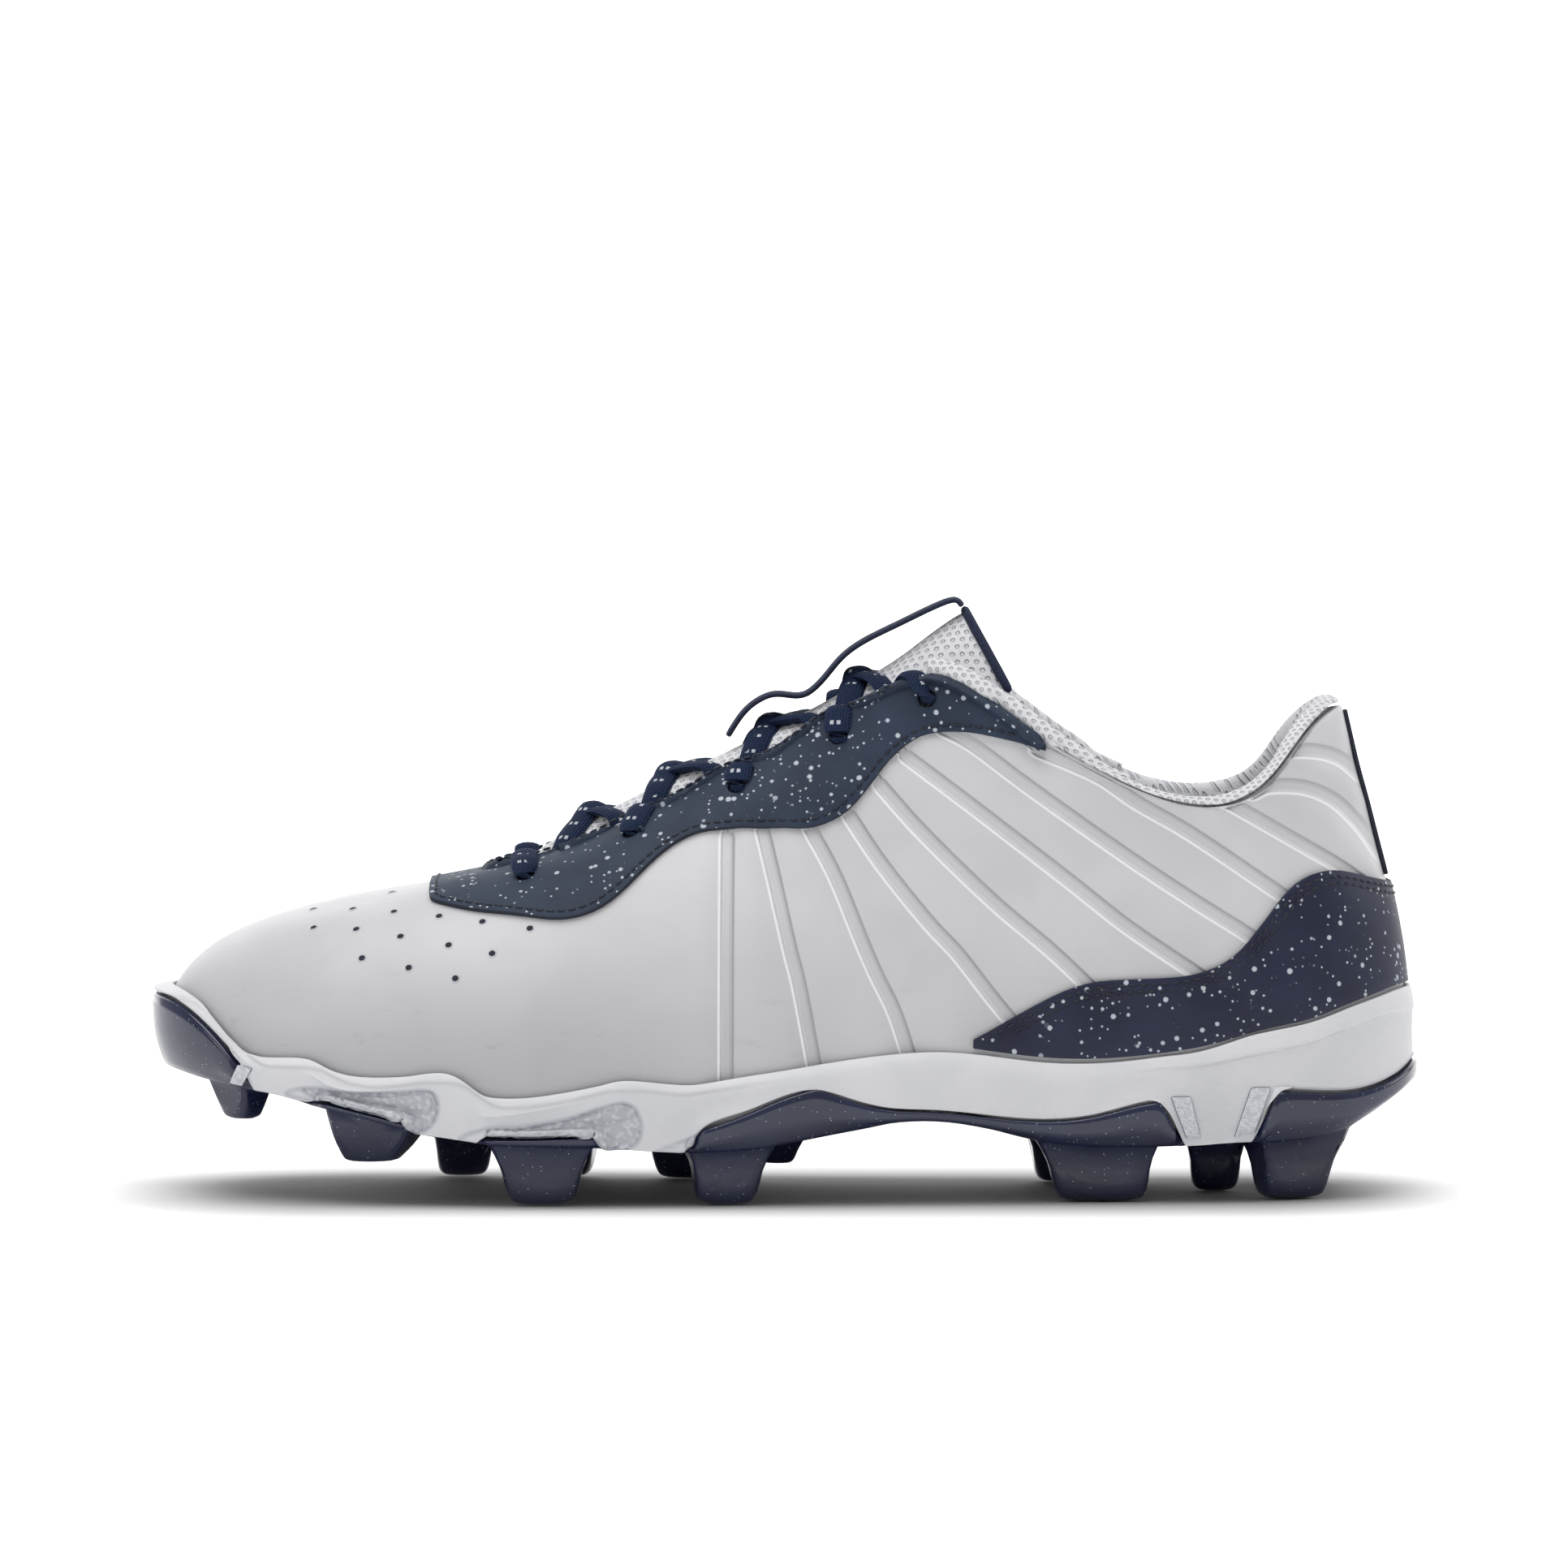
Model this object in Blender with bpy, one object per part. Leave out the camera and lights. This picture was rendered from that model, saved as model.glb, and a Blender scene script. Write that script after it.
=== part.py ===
"""Baseball cleat with a moulded sole: a left shoe, toe towards -X, outer side towards -Y, standing on its studs."""
import math
from collections import namedtuple

import bmesh
import bpy
import numpy as np
from mathutils import Matrix, Vector

# Driving sizes in metres
LENGTH = 0.295
BALL_WIDTH = 0.100
INSTEP_HEIGHT = 0.121
HEEL_HEIGHT = 0.113
SOLE_HEIGHT = 0.050
WALL = 0.0018
OVERLAY = 0.0012
PLATE = 0.0024
RIM = 0.0032
WING = 0.0016
BED_THICKNESS = 0.003
LINING = 0.0050
TONGUE_PAD = 0.0045
LACE_WIDTH = 0.0062
LACE_THICKNESS = 0.0019
EYELET = 0.0046
WEBBING_WIDTH = 0.011
WEBBING = 0.0011
STUD_BEVEL = 0.0009
LINING_DEPTH = 0.028
SCALLOP = 0.0042
GAP = 0.0003
SEAT = 0.0006
LACE_CLEAR = 0.0010

# How far the shoe is moved to its inner side so that its box is centred, and how far the tongue's middle stands
# from there, as shares of BALL_WIDTH
SIDE_SHIFT = 0.0135
TONGUE_MIDDLE = 0.005 + SIDE_SHIFT

# Divisions: rings round the upper, rows up its wall, and faces across the tongue
UPPER_RINGS = 60
UPPER_ROWS = 6
TONGUE_ACROSS = 8

# Each row is a section of the shoe. "along" is a share of LENGTH from the toe to the heel. The sole's outline,
# the sides of the upper's edge and the swell are shares of BALL_WIDTH, the edge's height is a share of
# INSTEP_HEIGHT plus a share of HEEL_HEIGHT, and the bed a share of SOLE_HEIGHT. Rise and drop are shares of
# the section's height, and reach is a share of the way from the edge out to the sole.
Section = namedtuple("Section", "along outer inner edge_along edge_outer edge_inner instep heel "
                                "swell rise reach drop bed")
SECTIONS = [
    Section(0.000, 0.050, 0.050, 0.267, 0.015, 0.015, 0.607, 0.000, 0.035, 0.64, 0.655, 0.16, 0.70),
    Section(0.030, -0.175, 0.260, 0.268, -0.035, 0.060, 0.608, 0.000, 0.035, 0.62, 0.63, 0.15, 0.66),
    Section(0.100, -0.345, 0.385, 0.277, -0.085, 0.105, 0.616, 0.000, 0.035, 0.56, 0.60, 0.14, 0.58),
    Section(0.200, -0.455, 0.460, 0.312, -0.115, 0.130, 0.640, 0.000, 0.035, 0.50, 0.56, 0.13, 0.46),
    Section(0.300, -0.505, 0.475, 0.368, -0.135, 0.150, 0.694, 0.000, 0.035, 0.45, 0.52, 0.13, 0.40),
    Section(0.380, -0.500, 0.440, 0.428, -0.155, 0.165, 0.767, 0.000, 0.033, 0.42, 0.46, 0.14, 0.40),
    Section(0.470, -0.475, 0.385, 0.498, -0.170, 0.175, 0.848, 0.000, 0.030, 0.40, 0.40, 0.16, 0.43),
    Section(0.560, -0.435, 0.335, 0.566, -0.190, 0.190, 0.949, 0.000, 0.027, 0.38, 0.34, 0.18, 0.49),
    Section(0.610, -0.415, 0.320, 0.614, -0.225, 0.220, 1.000, 0.000, 0.025, 0.37, 0.30, 0.20, 0.52),
    Section(0.670, -0.395, 0.315, 0.672, -0.270, 0.260, 0.500, 0.455, 0.030, 0.36, 0.24, 0.24, 0.51),
    Section(0.750, -0.380, 0.325, 0.748, -0.300, 0.285, 0.100, 0.763, 0.040, 0.35, 0.16, 0.28, 0.52),
    Section(0.830, -0.370, 0.340, 0.822, -0.310, 0.300, 0.000, 0.797, 0.045, 0.34, 0.10, 0.30, 0.53),
    Section(0.890, -0.345, 0.330, 0.874, -0.285, 0.280, 0.000, 0.832, 0.045, 0.33, 0.16, 0.30, 0.54),
    Section(0.935, -0.295, 0.290, 0.902, -0.225, 0.220, 0.000, 0.920, 0.045, 0.32, 0.24, 0.30, 0.55),
    Section(0.975, -0.200, 0.195, 0.926, -0.130, 0.130, 0.000, 0.982, 0.045, 0.31, 0.32, 0.30, 0.575),
    Section(1.000, 0.000, 0.000, 0.940, 0.000, 0.000, 0.000, 0.998, 0.045, 0.30, 0.36, 0.30, 0.60),
]

# Each row is a station on the side of the sole, the same on both sides. The heights are shares of SOLE_HEIGHT:
# the foam's wavy rim, its sloping lip, its lower line and the top of the outsole's wings. "scoop" is how far the
# side is hollowed, as a share of BALL_WIDTH, and "hug" is 1 where the outsole wraps up round the foam.
Side = namedtuple("Side", "along rim lip scoop foot hug wing")
SIDES = [
    Side(0.000, 0.95, 0.01, 0.000, 0.600, 1, 0.92),
    Side(0.006, 0.95, 0.01, 0.000, 0.585, 1, 0.92),
    Side(0.018, 0.93, 0.01, 0.000, 0.570, 1, 0.905),
    Side(0.035, 0.885, 0.01, 0.000, 0.550, 1, 0.855),
    Side(0.055, 0.785, 0.01, 0.000, 0.530, 1, 0.755),
    Side(0.072, 0.695, 0.02, 0.000, 0.515, 1, 0.64),
    Side(0.083, 0.66, 0.04, 0.002, 0.500, 0, 0.54),
    Side(0.105, 0.665, 0.05, 0.006, 0.485, 0, 0.51),
    Side(0.128, 0.67, 0.06, 0.008, 0.445, 0, 0.47),
    Side(0.142, 0.614, 0.07, 0.010, 0.430, 1, 0.465),
    Side(0.165, 0.58, 0.07, 0.014, 0.400, 1, 0.435),
    Side(0.203, 0.59, 0.05, 0.014, 0.350, 1, 0.385),
    Side(0.212, 0.60, 0.05, 0.014, 0.325, 0, 0.37),
    Side(0.232, 0.618, 0.06, 0.004, 0.310, 0, 0.36),
    Side(0.246, 0.594, 0.08, 0.000, 0.298, 0, 0.34),
    Side(0.262, 0.52, 0.10, 0.006, 0.286, 0, 0.33),
    Side(0.271, 0.498, 0.09, 0.010, 0.280, 1, 0.315),
    Side(0.305, 0.498, 0.06, 0.014, 0.272, 1, 0.315),
    Side(0.352, 0.55, 0.05, 0.014, 0.266, 1, 0.325),
    Side(0.362, 0.564, 0.05, 0.012, 0.262, 0, 0.32),
    Side(0.374, 0.584, 0.06, 0.008, 0.258, 0, 0.31),
    Side(0.394, 0.574, 0.08, 0.002, 0.248, 0, 0.30),
    Side(0.424, 0.554, 0.05, 0.010, 0.240, 0, 0.30),
    Side(0.438, 0.563, 0.05, 0.012, 0.240, 1, 0.36),
    Side(0.470, 0.595, 0.05, 0.006, 0.250, 1, 0.42),
    Side(0.498, 0.617, 0.04, 0.000, 0.272, 1, 0.50),
    Side(0.525, 0.643, 0.04, 0.000, 0.305, 1, 0.543),
    Side(0.552, 0.668, 0.04, 0.000, 0.335, 1, 0.48),
    Side(0.582, 0.688, 0.04, 0.002, 0.366, 1, 0.43),
    Side(0.618, 0.704, 0.04, 0.004, 0.380, 1, 0.432),
    Side(0.658, 0.684, 0.05, 0.004, 0.340, 1, 0.402),
    Side(0.698, 0.646, 0.06, 0.004, 0.280, 1, 0.376),
    Side(0.738, 0.64, 0.06, 0.004, 0.250, 1, 0.39),
    Side(0.770, 0.655, 0.06, 0.004, 0.250, 1, 0.45),
    Side(0.793, 0.674, 0.07, 0.004, 0.250, 1, 0.472),
    Side(0.803, 0.680, 0.07, 0.004, 0.252, 1, 0.345),
    Side(0.812, 0.685, 0.07, 0.004, 0.254, 0, 0.32),
    Side(0.828, 0.70, 0.08, 0.012, 0.256, 0, 0.32),
    Side(0.850, 0.742, 0.09, 0.012, 0.266, 0, 0.32),
    Side(0.866, 0.772, 0.09, 0.004, 0.268, 0, 0.32),
    Side(0.874, 0.780, 0.09, 0.004, 0.270, 1, 0.36),
    Side(0.884, 0.792, 0.09, 0.004, 0.270, 1, 0.516),
    Side(0.915, 0.82, 0.09, 0.004, 0.280, 1, 0.50),
    Side(0.945, 0.885, 0.10, 0.004, 0.320, 1, 0.49),
    Side(0.968, 0.92, 0.10, 0.004, 0.390, 1, 0.52),
    Side(0.985, 0.95, 0.10, 0.004, 0.450, 1, 0.56),
    Side(0.995, 0.955, 0.10, 0.004, 0.490, 1, 0.61),
    Side(1.000, 0.955, 0.10, 0.004, 0.500, 1, 0.62),
]


def around(along, side):
    """The angle round the shoe of a place along it: 0 at the toe, pi at the heel, the outer side first."""
    angle = math.acos(1.0 - 2.0 * min(max(along, 0.0), 1.0))
    return angle if side < 0 else 2.0 * math.pi - angle


class ClosedCurve:
    """A smooth closed curve through rows of numbers, read by the angle round the shoe."""

    def __init__(self, angles, rows):
        values = np.array(rows, dtype=float)
        count = len(values)
        self.angles = np.append(angles, angles[0] + 2.0 * math.pi)
        self.values = np.vstack([values, values[:1]])
        steps = np.diff(self.angles)
        slopes = np.diff(self.values, axis=0) / steps[:, None]
        matrix = np.zeros((count, count))
        for row in range(count):
            matrix[row, row - 1] += steps[row - 1]
            matrix[row, row] += 2.0 * (steps[row - 1] + steps[row])
            matrix[row, (row + 1) % count] += steps[row]
        bends = np.linalg.solve(matrix, 6.0 * (slopes - np.roll(slopes, 1, axis=0)))
        self.bends = np.vstack([bends, bends[:1]])

    def at(self, angle):
        angle = angle % (2.0 * math.pi)
        row = min(int(np.searchsorted(self.angles, angle, side="right")) - 1, len(self.angles) - 2)
        step = self.angles[row + 1] - self.angles[row]
        late = (angle - self.angles[row]) / step
        early = 1.0 - late
        value = early * self.values[row] + late * self.values[row + 1]
        bend = (early ** 3 - early) * self.bends[row] + (late ** 3 - late) * self.bends[row + 1]
        return value + bend * step * step / 6.0


def section_curve():
    """The sections as one closed curve: down the outer side from toe to heel, and back up the inner side."""
    angles, rows = [], []
    stations = [(row, -1) for row in SECTIONS] + [(row, 1) for row in SECTIONS[-2:0:-1]]
    for row, side in stations:
        outline, edge = (row.outer, row.edge_outer) if side < 0 else (row.inner, row.edge_inner)
        height = row.instep * INSTEP_HEIGHT + row.heel * HEEL_HEIGHT
        angles.append(around(row.along, side))
        rows.append([(outline + SIDE_SHIFT) * BALL_WIDTH, row.edge_along, (edge + SIDE_SHIFT) * BALL_WIDTH, height,
                     row.swell * BALL_WIDTH, row.rise, row.reach, row.drop, row.bed * SOLE_HEIGHT])
    return ClosedCurve(angles, rows)


SHOE = section_curve()


def lengthwise(along):
    return (along - 0.5) * LENGTH


def outline_point(angle):
    return Vector((lengthwise((1.0 - math.cos(angle)) / 2.0), SHOE.at(angle)[0], 0.0))


def inward(angle):
    """The level direction that points into the shoe from its outline."""
    step = 0.01
    along = (outline_point(angle + step) - outline_point(angle - step)).normalized()
    return Vector((-along.y, along.x, 0.0))


def outline(angle, inset, height):
    """A point at some height, moved in from the sole's outline by inset."""
    return outline_point(angle) + inward(angle) * inset + Vector((0.0, 0.0, height))


def wall(angle, share):
    """A point of the upper's outer surface: share 0 at the sole and 1 at the collar and throat."""
    _, edge_along, edge_side, edge_height, swell, rise, reach, drop, bed = SHOE.at(angle)
    foot = outline(angle, RIM + GAP, bed + GAP)
    edge = Vector((lengthwise(edge_along), edge_side, edge_height))
    tall = edge.z - foot.z
    low = foot - inward(angle) * swell + Vector((0.0, 0.0, rise * tall))
    level = Vector((foot.x - edge.x, foot.y - edge.y, 0.0))
    high = edge + level * reach - Vector((0.0, 0.0, drop * tall))
    if share > 1.0:
        return edge + (edge - high).normalized() * (share - 1.0) * tall
    rest = 1.0 - share
    return (foot * rest ** 3 + low * (3.0 * share * rest * rest)
            + high * (3.0 * share * share * rest) + edge * share ** 3)


def frame_at(angle, share):
    """The outward direction and the upward direction of the upper's surface."""
    step = 0.01
    round_it = wall(angle + step, share) - wall(angle - step, share)
    up_it = wall(angle, share) - wall(angle, share - step)
    return round_it.cross(up_it).normalized(), up_it.normalized()


def over(angle, share, out, up=0.0):
    """A point off the upper's surface, by out along its normal and by up along its height."""
    outwards, upwards = frame_at(angle, share)
    return wall(angle, share) + outwards * out + upwards * up


def share_where(angle, is_above):
    """The share up the wall where a test first holds, found by halving."""
    low, high = 0.0, 1.0
    for _ in range(24):
        middle = (low + high) / 2.0
        if is_above(wall(angle, middle)):
            high = middle
        else:
            low = middle
    return high


def rows_between(start, end, count):
    return [start + (end - start) * step / count for step in range(count + 1)]


ANGLES = [around(row.along, -1) for row in SIDES] + [around(row.along, 1) for row in SIDES[-2:0:-1]]
ROWS = SIDES + SIDES[-2:0:-1]


def rim_share(angle, row):
    return share_where(angle, lambda point: point.z > row.rim * SOLE_HEIGHT)


def material(name, colour, roughness, metallic=0.0):
    made = bpy.data.materials.new(name)
    made.use_nodes = True
    shader = made.node_tree.nodes["Principled BSDF"]
    shader.inputs["Base Color"].default_value = (*colour, 1.0)
    shader.inputs["Roughness"].default_value = roughness
    shader.inputs["Metallic"].default_value = metallic
    return made


def make_object(name, points, faces, finish, collection):
    """An object from points and faces, with the faces turned outwards and round parts shaded smooth."""
    mesh = bpy.data.meshes.new(name)
    mesh.from_pydata([tuple(point) for point in points], [], faces)
    work = bmesh.new()
    work.from_mesh(mesh)
    bmesh.ops.remove_doubles(work, verts=work.verts, dist=0.00001)
    bmesh.ops.recalc_face_normals(work, faces=work.faces)
    if work.calc_volume(signed=True) < 0.0:
        bmesh.ops.reverse_faces(work, faces=work.faces)
    work.to_mesh(mesh)
    work.free()
    mesh.materials.append(finish)
    mesh.shade_smooth()
    mesh.set_sharp_from_angle(angle=math.radians(35.0))
    made = bpy.data.objects.new(name, mesh)
    collection.objects.link(made)
    return made


def loft(name, rings, closed, finish, collection):
    """A solid through rings of points: joined end to end when closed, and capped when not."""
    count = len(rings[0])
    points = [point for ring in rings for point in ring]
    faces = []
    for index in range(len(rings) if closed else len(rings) - 1):
        after = (index + 1) % len(rings)
        for step in range(count):
            ahead = (step + 1) % count
            faces.append((index * count + step, index * count + ahead, after * count + ahead, after * count + step))
    if not closed:
        faces.append(tuple(range(count)))
        faces.append(tuple((len(rings) - 1) * count + step for step in reversed(range(count))))
    return make_object(name, points, faces, finish, collection)


def dish(name, profiles, finish, collection, across=4, mating=False):
    """A solid from one profile for each station round the shoe, closed across below and above.

    Two dishes that fit together, one of them mating, split their bent faces along the same lines.
    """
    count = len(profiles)
    length = len(profiles[0])
    points = [point for profile in profiles for point in profile]
    faces = []
    for index in range(count):
        after = (index + 1) % count
        for step in range(length - 1):
            near, far = index * length + step, after * length + step
            if mating:
                faces += [(near, near + 1, far), (near + 1, far + 1, far)]
            else:
                faces += [(near, near + 1, far + 1), (near, far + 1, far)]
    for end in (0, length - 1):
        lines = []
        for index in range(count // 2 + 1):
            outer = index * length + end
            other = ((count - index) % count) * length + end
            line = [outer]
            if outer != other:
                for step in range(1, across):
                    line.append(len(points))
                    points.append(points[outer].lerp(points[other], step / across))
                line.append(other)
            lines.append(line)
        for near, far in zip(lines, lines[1:]):
            if len(near) == 1:
                faces += [(near[0], far[step], far[step + 1]) for step in range(across)]
            elif len(far) == 1:
                faces += [(near[step], near[step + 1], far[0]) for step in range(across)]
            else:
                for step in range(across):
                    faces += [(near[step], near[step + 1], far[step + 1]), (near[step], far[step + 1], far[step])]
    return make_object(name, points, faces, finish, collection)


def blend(tucked, wrapped, hug):
    return tucked[0] + (wrapped[0] - tucked[0]) * hug, tucked[1] + (wrapped[1] - tucked[1]) * hug


def outsole_profile(angle, row):
    """Round the outsole's edge from below: tucked under the foam, or wrapped up round it as a wing."""
    foot = row.foot * SOLE_HEIGHT
    wing = row.wing * SOLE_HEIGHT
    places = [
        blend((1.1 * RIM, foot), (0.7 * RIM, foot), row.hug),
        blend((1.15 * RIM, foot + 0.3 * PLATE), (-0.1 * WING, foot + 0.35 * (wing - foot)), row.hug),
        blend((1.25 * RIM, foot + 0.6 * PLATE), (-0.3 * WING, wing - 0.25 * WING), row.hug),
        blend((1.4 * RIM, foot + 0.85 * PLATE), (0.7 * WING, wing), row.hug),
        blend((1.65 * RIM, foot + PLATE), (1.6 * WING, foot + PLATE), row.hug),
    ]
    return [outline(angle, inset, height) for inset, height in places]


def midsole_profile(angle, row, turning):
    """Round the foam from below: over the outsole's edge, up the side to the rim and down to the bed."""
    clear = GAP * (3.6 if turning else 1.2)
    foot = row.foot * SOLE_HEIGHT
    wing = row.wing * SOLE_HEIGHT
    rim = row.rim * SOLE_HEIGHT
    base = foot + (wing + clear + 0.25 * WING - foot) * row.hug
    ledge = max(rim - row.lip * SOLE_HEIGHT, base + 0.25 * WING)
    share = rim_share(angle, row)
    places = [
        blend((1.65 * RIM, foot + PLATE + clear), (1.6 * WING + 1.4 * clear, foot + PLATE + clear), row.hug),
        blend((1.4 * RIM - clear, foot + 0.85 * PLATE + clear), (0.7 * WING + 1.4 * clear, wing + clear), row.hug),
        blend((1.25 * RIM - 1.3 * clear, foot + 0.6 * PLATE), (0.2 * WING, wing + clear), row.hug),
        blend((1.1 * RIM - 1.3 * clear, foot), (0.05 * WING, wing + 1.2 * clear), row.hug),
        (0.3 * RIM * (1.0 - row.hug), base),
        (row.scoop * BALL_WIDTH, (base + ledge) / 2.0),
        (0.0, ledge),
    ]
    profile = [outline(angle, inset, height) for inset, height in places]
    profile += [over(angle, share, SEAT + 0.32 * RIM), over(angle, share, SEAT),
                over(angle, share / 2.0, SEAT), over(angle, 0.0, SEAT)]
    profile[-1].z = SHOE.at(angle)[8]
    return profile


# Each row is a stud: its place along the shoe and the side it stands on (-1 outer, 1 inner, 0 the middle),
# the inset of its face as a share of BALL_WIDTH, its length and width at the plate as shares of BALL_WIDTH,
# how much of both is left at its foot, how far its foot leans to the toe, and its foot's height.
Stud = namedtuple("Stud", "name along side inset length width taper lean foot")
STUDS = [
    Stud("toe_outer", 0.052, -1, 0.020, 0.13, 0.10, 0.60, -0.010, 0.36),
    Stud("toe_inner", 0.052, 1, 0.020, 0.13, 0.10, 0.60, -0.010, 0.36),
    Stud("front_outer", 0.171, -1, 0.020, 0.21, 0.13, 0.62, 0.010, 0.17),
    Stud("ball_outer", 0.311, -1, 0.014, 0.25, 0.15, 0.56, 0.000, 0.0),
    Stud("rear_outer", 0.462, -1, 0.020, 0.21, 0.14, 0.60, 0.010, 0.0),
    Stud("front_inner", 0.240, 1, 0.020, 0.19, 0.13, 0.58, 0.000, 0.0),
    Stud("ball_inner", 0.330, 1, 0.020, 0.20, 0.14, 0.58, 0.000, 0.0),
    Stud("rear_inner", 0.430, 1, 0.020, 0.21, 0.14, 0.60, 0.000, 0.0),
    Stud("middle", 0.495, 0, 0.0, 0.14, 0.14, 0.60, 0.000, 0.12),
    Stud("heel_front_outer", 0.745, -1, 0.016, 0.29, 0.14, 0.68, -0.012, 0.0),
    Stud("heel_front_inner", 0.730, 1, 0.016, 0.27, 0.14, 0.66, 0.000, 0.0),
    Stud("heel_middle", 0.840, 0, 0.0, 0.16, 0.15, 0.62, 0.000, 0.0),
    Stud("heel_rear_outer", 0.915, -1, 0.030, 0.23, 0.14, 0.62, 0.012, 0.0),
    Stud("heel_rear_inner", 0.915, 1, 0.030, 0.23, 0.14, 0.62, 0.012, 0.0),
]


def plate_height(along):
    """The height of the plate's underside, read along the sides."""
    return float(np.interp(along, [row.along for row in SIDES], [row.foot for row in SIDES])) * SOLE_HEIGHT


def make_stud(stud, finish, collection):
    """A tapered block whose outer face follows the sole's edge, sunk into the plate by half its thickness."""
    angle = around(stud.along, stud.side or -1)
    length, width = stud.length * BALL_WIDTH, stud.width * BALL_WIDTH
    foot = stud.foot * SOLE_HEIGHT
    turn = 0.0
    if stud.side:
        into = inward(angle)
        turn = math.atan2(into.y, into.x) + math.pi / 2.0
        place = outline(angle, RIM * 0.7 + stud.inset * BALL_WIDTH + width / 2.0, 0.0)
    else:
        middle = (outline_point(angle) + outline_point(-angle)) / 2.0
        place = Vector((middle.x, middle.y, 0.0))
    reach = 0.5 * length / LENGTH
    top = min(plate_height(stud.along - reach), plate_height(stud.along), plate_height(stud.along + reach))
    top += 0.5 * PLATE
    mesh = bpy.data.meshes.new(stud.name)
    work = bmesh.new()
    bmesh.ops.create_cube(work, size=1.0)
    for vertex in work.verts:
        low = vertex.co.z < 0.0
        shrink = stud.taper if low else 1.0
        vertex.co.x *= length * shrink
        vertex.co.y *= width * shrink
        vertex.co.z = foot if low else top
        if low:
            vertex.co.x += stud.lean * BALL_WIDTH
        if not low and stud.side:
            here = Matrix.Rotation(turn, 3, "Z") @ vertex.co + place
            vertex.co.z = plate_height(here.x / LENGTH + 0.5) + 0.5 * PLATE
    edges = [edge for edge in work.edges if min(end.co.z for end in edge.verts) < foot + GAP]
    bmesh.ops.bevel(work, geom=edges, offset=STUD_BEVEL, segments=1, affect="EDGES")
    bmesh.ops.recalc_face_normals(work, faces=work.faces)
    work.to_mesh(mesh)
    work.free()
    mesh.transform(Matrix.Translation(place) @ Matrix.Rotation(turn, 4, "Z"))
    mesh.materials.append(finish)
    made = bpy.data.objects.new("stud_" + stud.name, mesh)
    collection.objects.link(made)
    return made


def add_boolean(target, other, operation):
    modifier = target.modifiers.new(other.name, "BOOLEAN")
    modifier.operation = operation
    modifier.solver = "EXACT"
    modifier.object = other


def hide_tool(tool):
    tool.hide_render = True
    tool.display_type = "WIRE"


def make_outsole(finish, parts, cutters):
    sole = dish("outsole", [outsole_profile(angle, row) for angle, row in zip(ANGLES, ROWS)], finish, parts)
    for stud in STUDS:
        block = make_stud(stud, finish, cutters)
        add_boolean(sole, block, "UNION")
        hide_tool(block)
    return sole


def make_midsole(finish, parts):
    profiles = []
    for index, (angle, row) in enumerate(zip(ANGLES, ROWS)):
        after = ROWS[(index + 1) % len(ROWS)]
        turning = row.hug != ROWS[index - 1].hug or row.hug != after.hug
        profiles.append(midsole_profile(angle, row, turning))
    return dish("midsole", profiles, finish, parts, mating=True)


def make_upper(finish, parts):
    """The hollow upper: its outer surface, its inner surface and the edges between them."""
    rings = []
    low = 0.18
    shares = [0.0, low / 2.0] + rows_between(low, 1.0, UPPER_ROWS)
    for step in range(UPPER_RINGS):
        angle = 2.0 * math.pi * step / UPPER_RINGS
        outside = [wall(angle, share) for share in shares]
        inside = [over(angle, share, -WALL) for share in shares]
        rings.append(outside + inside[::-1])
    return loft("upper", rings, True, finish, parts)


def make_insole(finish, parts):
    inset = WALL + 2.0 * GAP
    profiles = []
    for step in range(UPPER_RINGS):
        angle = 2.0 * math.pi * step / UPPER_RINGS
        low = over(angle, 0.0, -inset)
        high = over(angle, 0.04, -inset)
        bed = SHOE.at(angle)[8]
        profiles.append([Vector((low.x, low.y, bed + GAP)), Vector((high.x, high.y, bed + GAP + BED_THICKNESS))])
    return dish("insole", profiles, finish, parts, across=2)


# Edges of the overlays as the outer side shows them: a share of LENGTH and a share of INSTEP_HEIGHT
Edge = namedtuple("Edge", "along height")
EYESTAY_EDGE = [
    Edge(0.216, 0.90), Edge(0.223, 0.565), Edge(0.258, 0.55), Edge(0.290, 0.545), Edge(0.324, 0.536),
    Edge(0.346, 0.545), Edge(0.370, 0.575), Edge(0.390, 0.632), Edge(0.410, 0.68), Edge(0.430, 0.70),
    Edge(0.456, 0.71), Edge(0.490, 0.71), Edge(0.522, 0.706), Edge(0.542, 0.72), Edge(0.559, 0.755),
    Edge(0.572, 0.81), Edge(0.585, 0.858), Edge(0.602, 0.887), Edge(0.625, 0.896), Edge(0.648, 0.89),
    Edge(0.688, 0.868), Edge(0.711, 0.85), Edge(0.735, 0.83),
]
COUNTER_EDGE = [
    Edge(0.630, 0.285), Edge(0.655, 0.315), Edge(0.680, 0.350), Edge(0.698, 0.385), Edge(0.720, 0.415),
    Edge(0.743, 0.424), Edge(0.782, 0.424), Edge(0.825, 0.430), Edge(0.846, 0.448), Edge(0.855, 0.468),
    Edge(0.868, 0.505), Edge(0.880, 0.555), Edge(0.890, 0.590), Edge(0.905, 0.617), Edge(0.922, 0.628),
    Edge(0.940, 0.624), Edge(0.965, 0.603), Edge(0.990, 0.58),
]
# Where the eyestay's crests stand along its upper edge, between the windows that show the tongue
CRESTS = [0.303, 0.377, 0.453, 0.528]
CREST_HALF = 0.022
# The eyelets of one side, as shares of LENGTH and INSTEP_HEIGHT
EYELETS = [Edge(0.299, 0.608), Edge(0.382, 0.690), Edge(0.464, 0.780), Edge(0.544, 0.876), Edge(0.612, 0.952)]
COLLAR_FROM = 0.545


def edge_height(edges, point):
    along = point.x / LENGTH + 0.5
    return float(np.interp(along, [edge.along for edge in edges], [edge.height for edge in edges])) * INSTEP_HEIGHT


def above(edges, angle):
    """The share up the wall where an overlay's lower edge runs."""
    return share_where(angle, lambda point: point.z > edge_height(edges, point))


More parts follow.
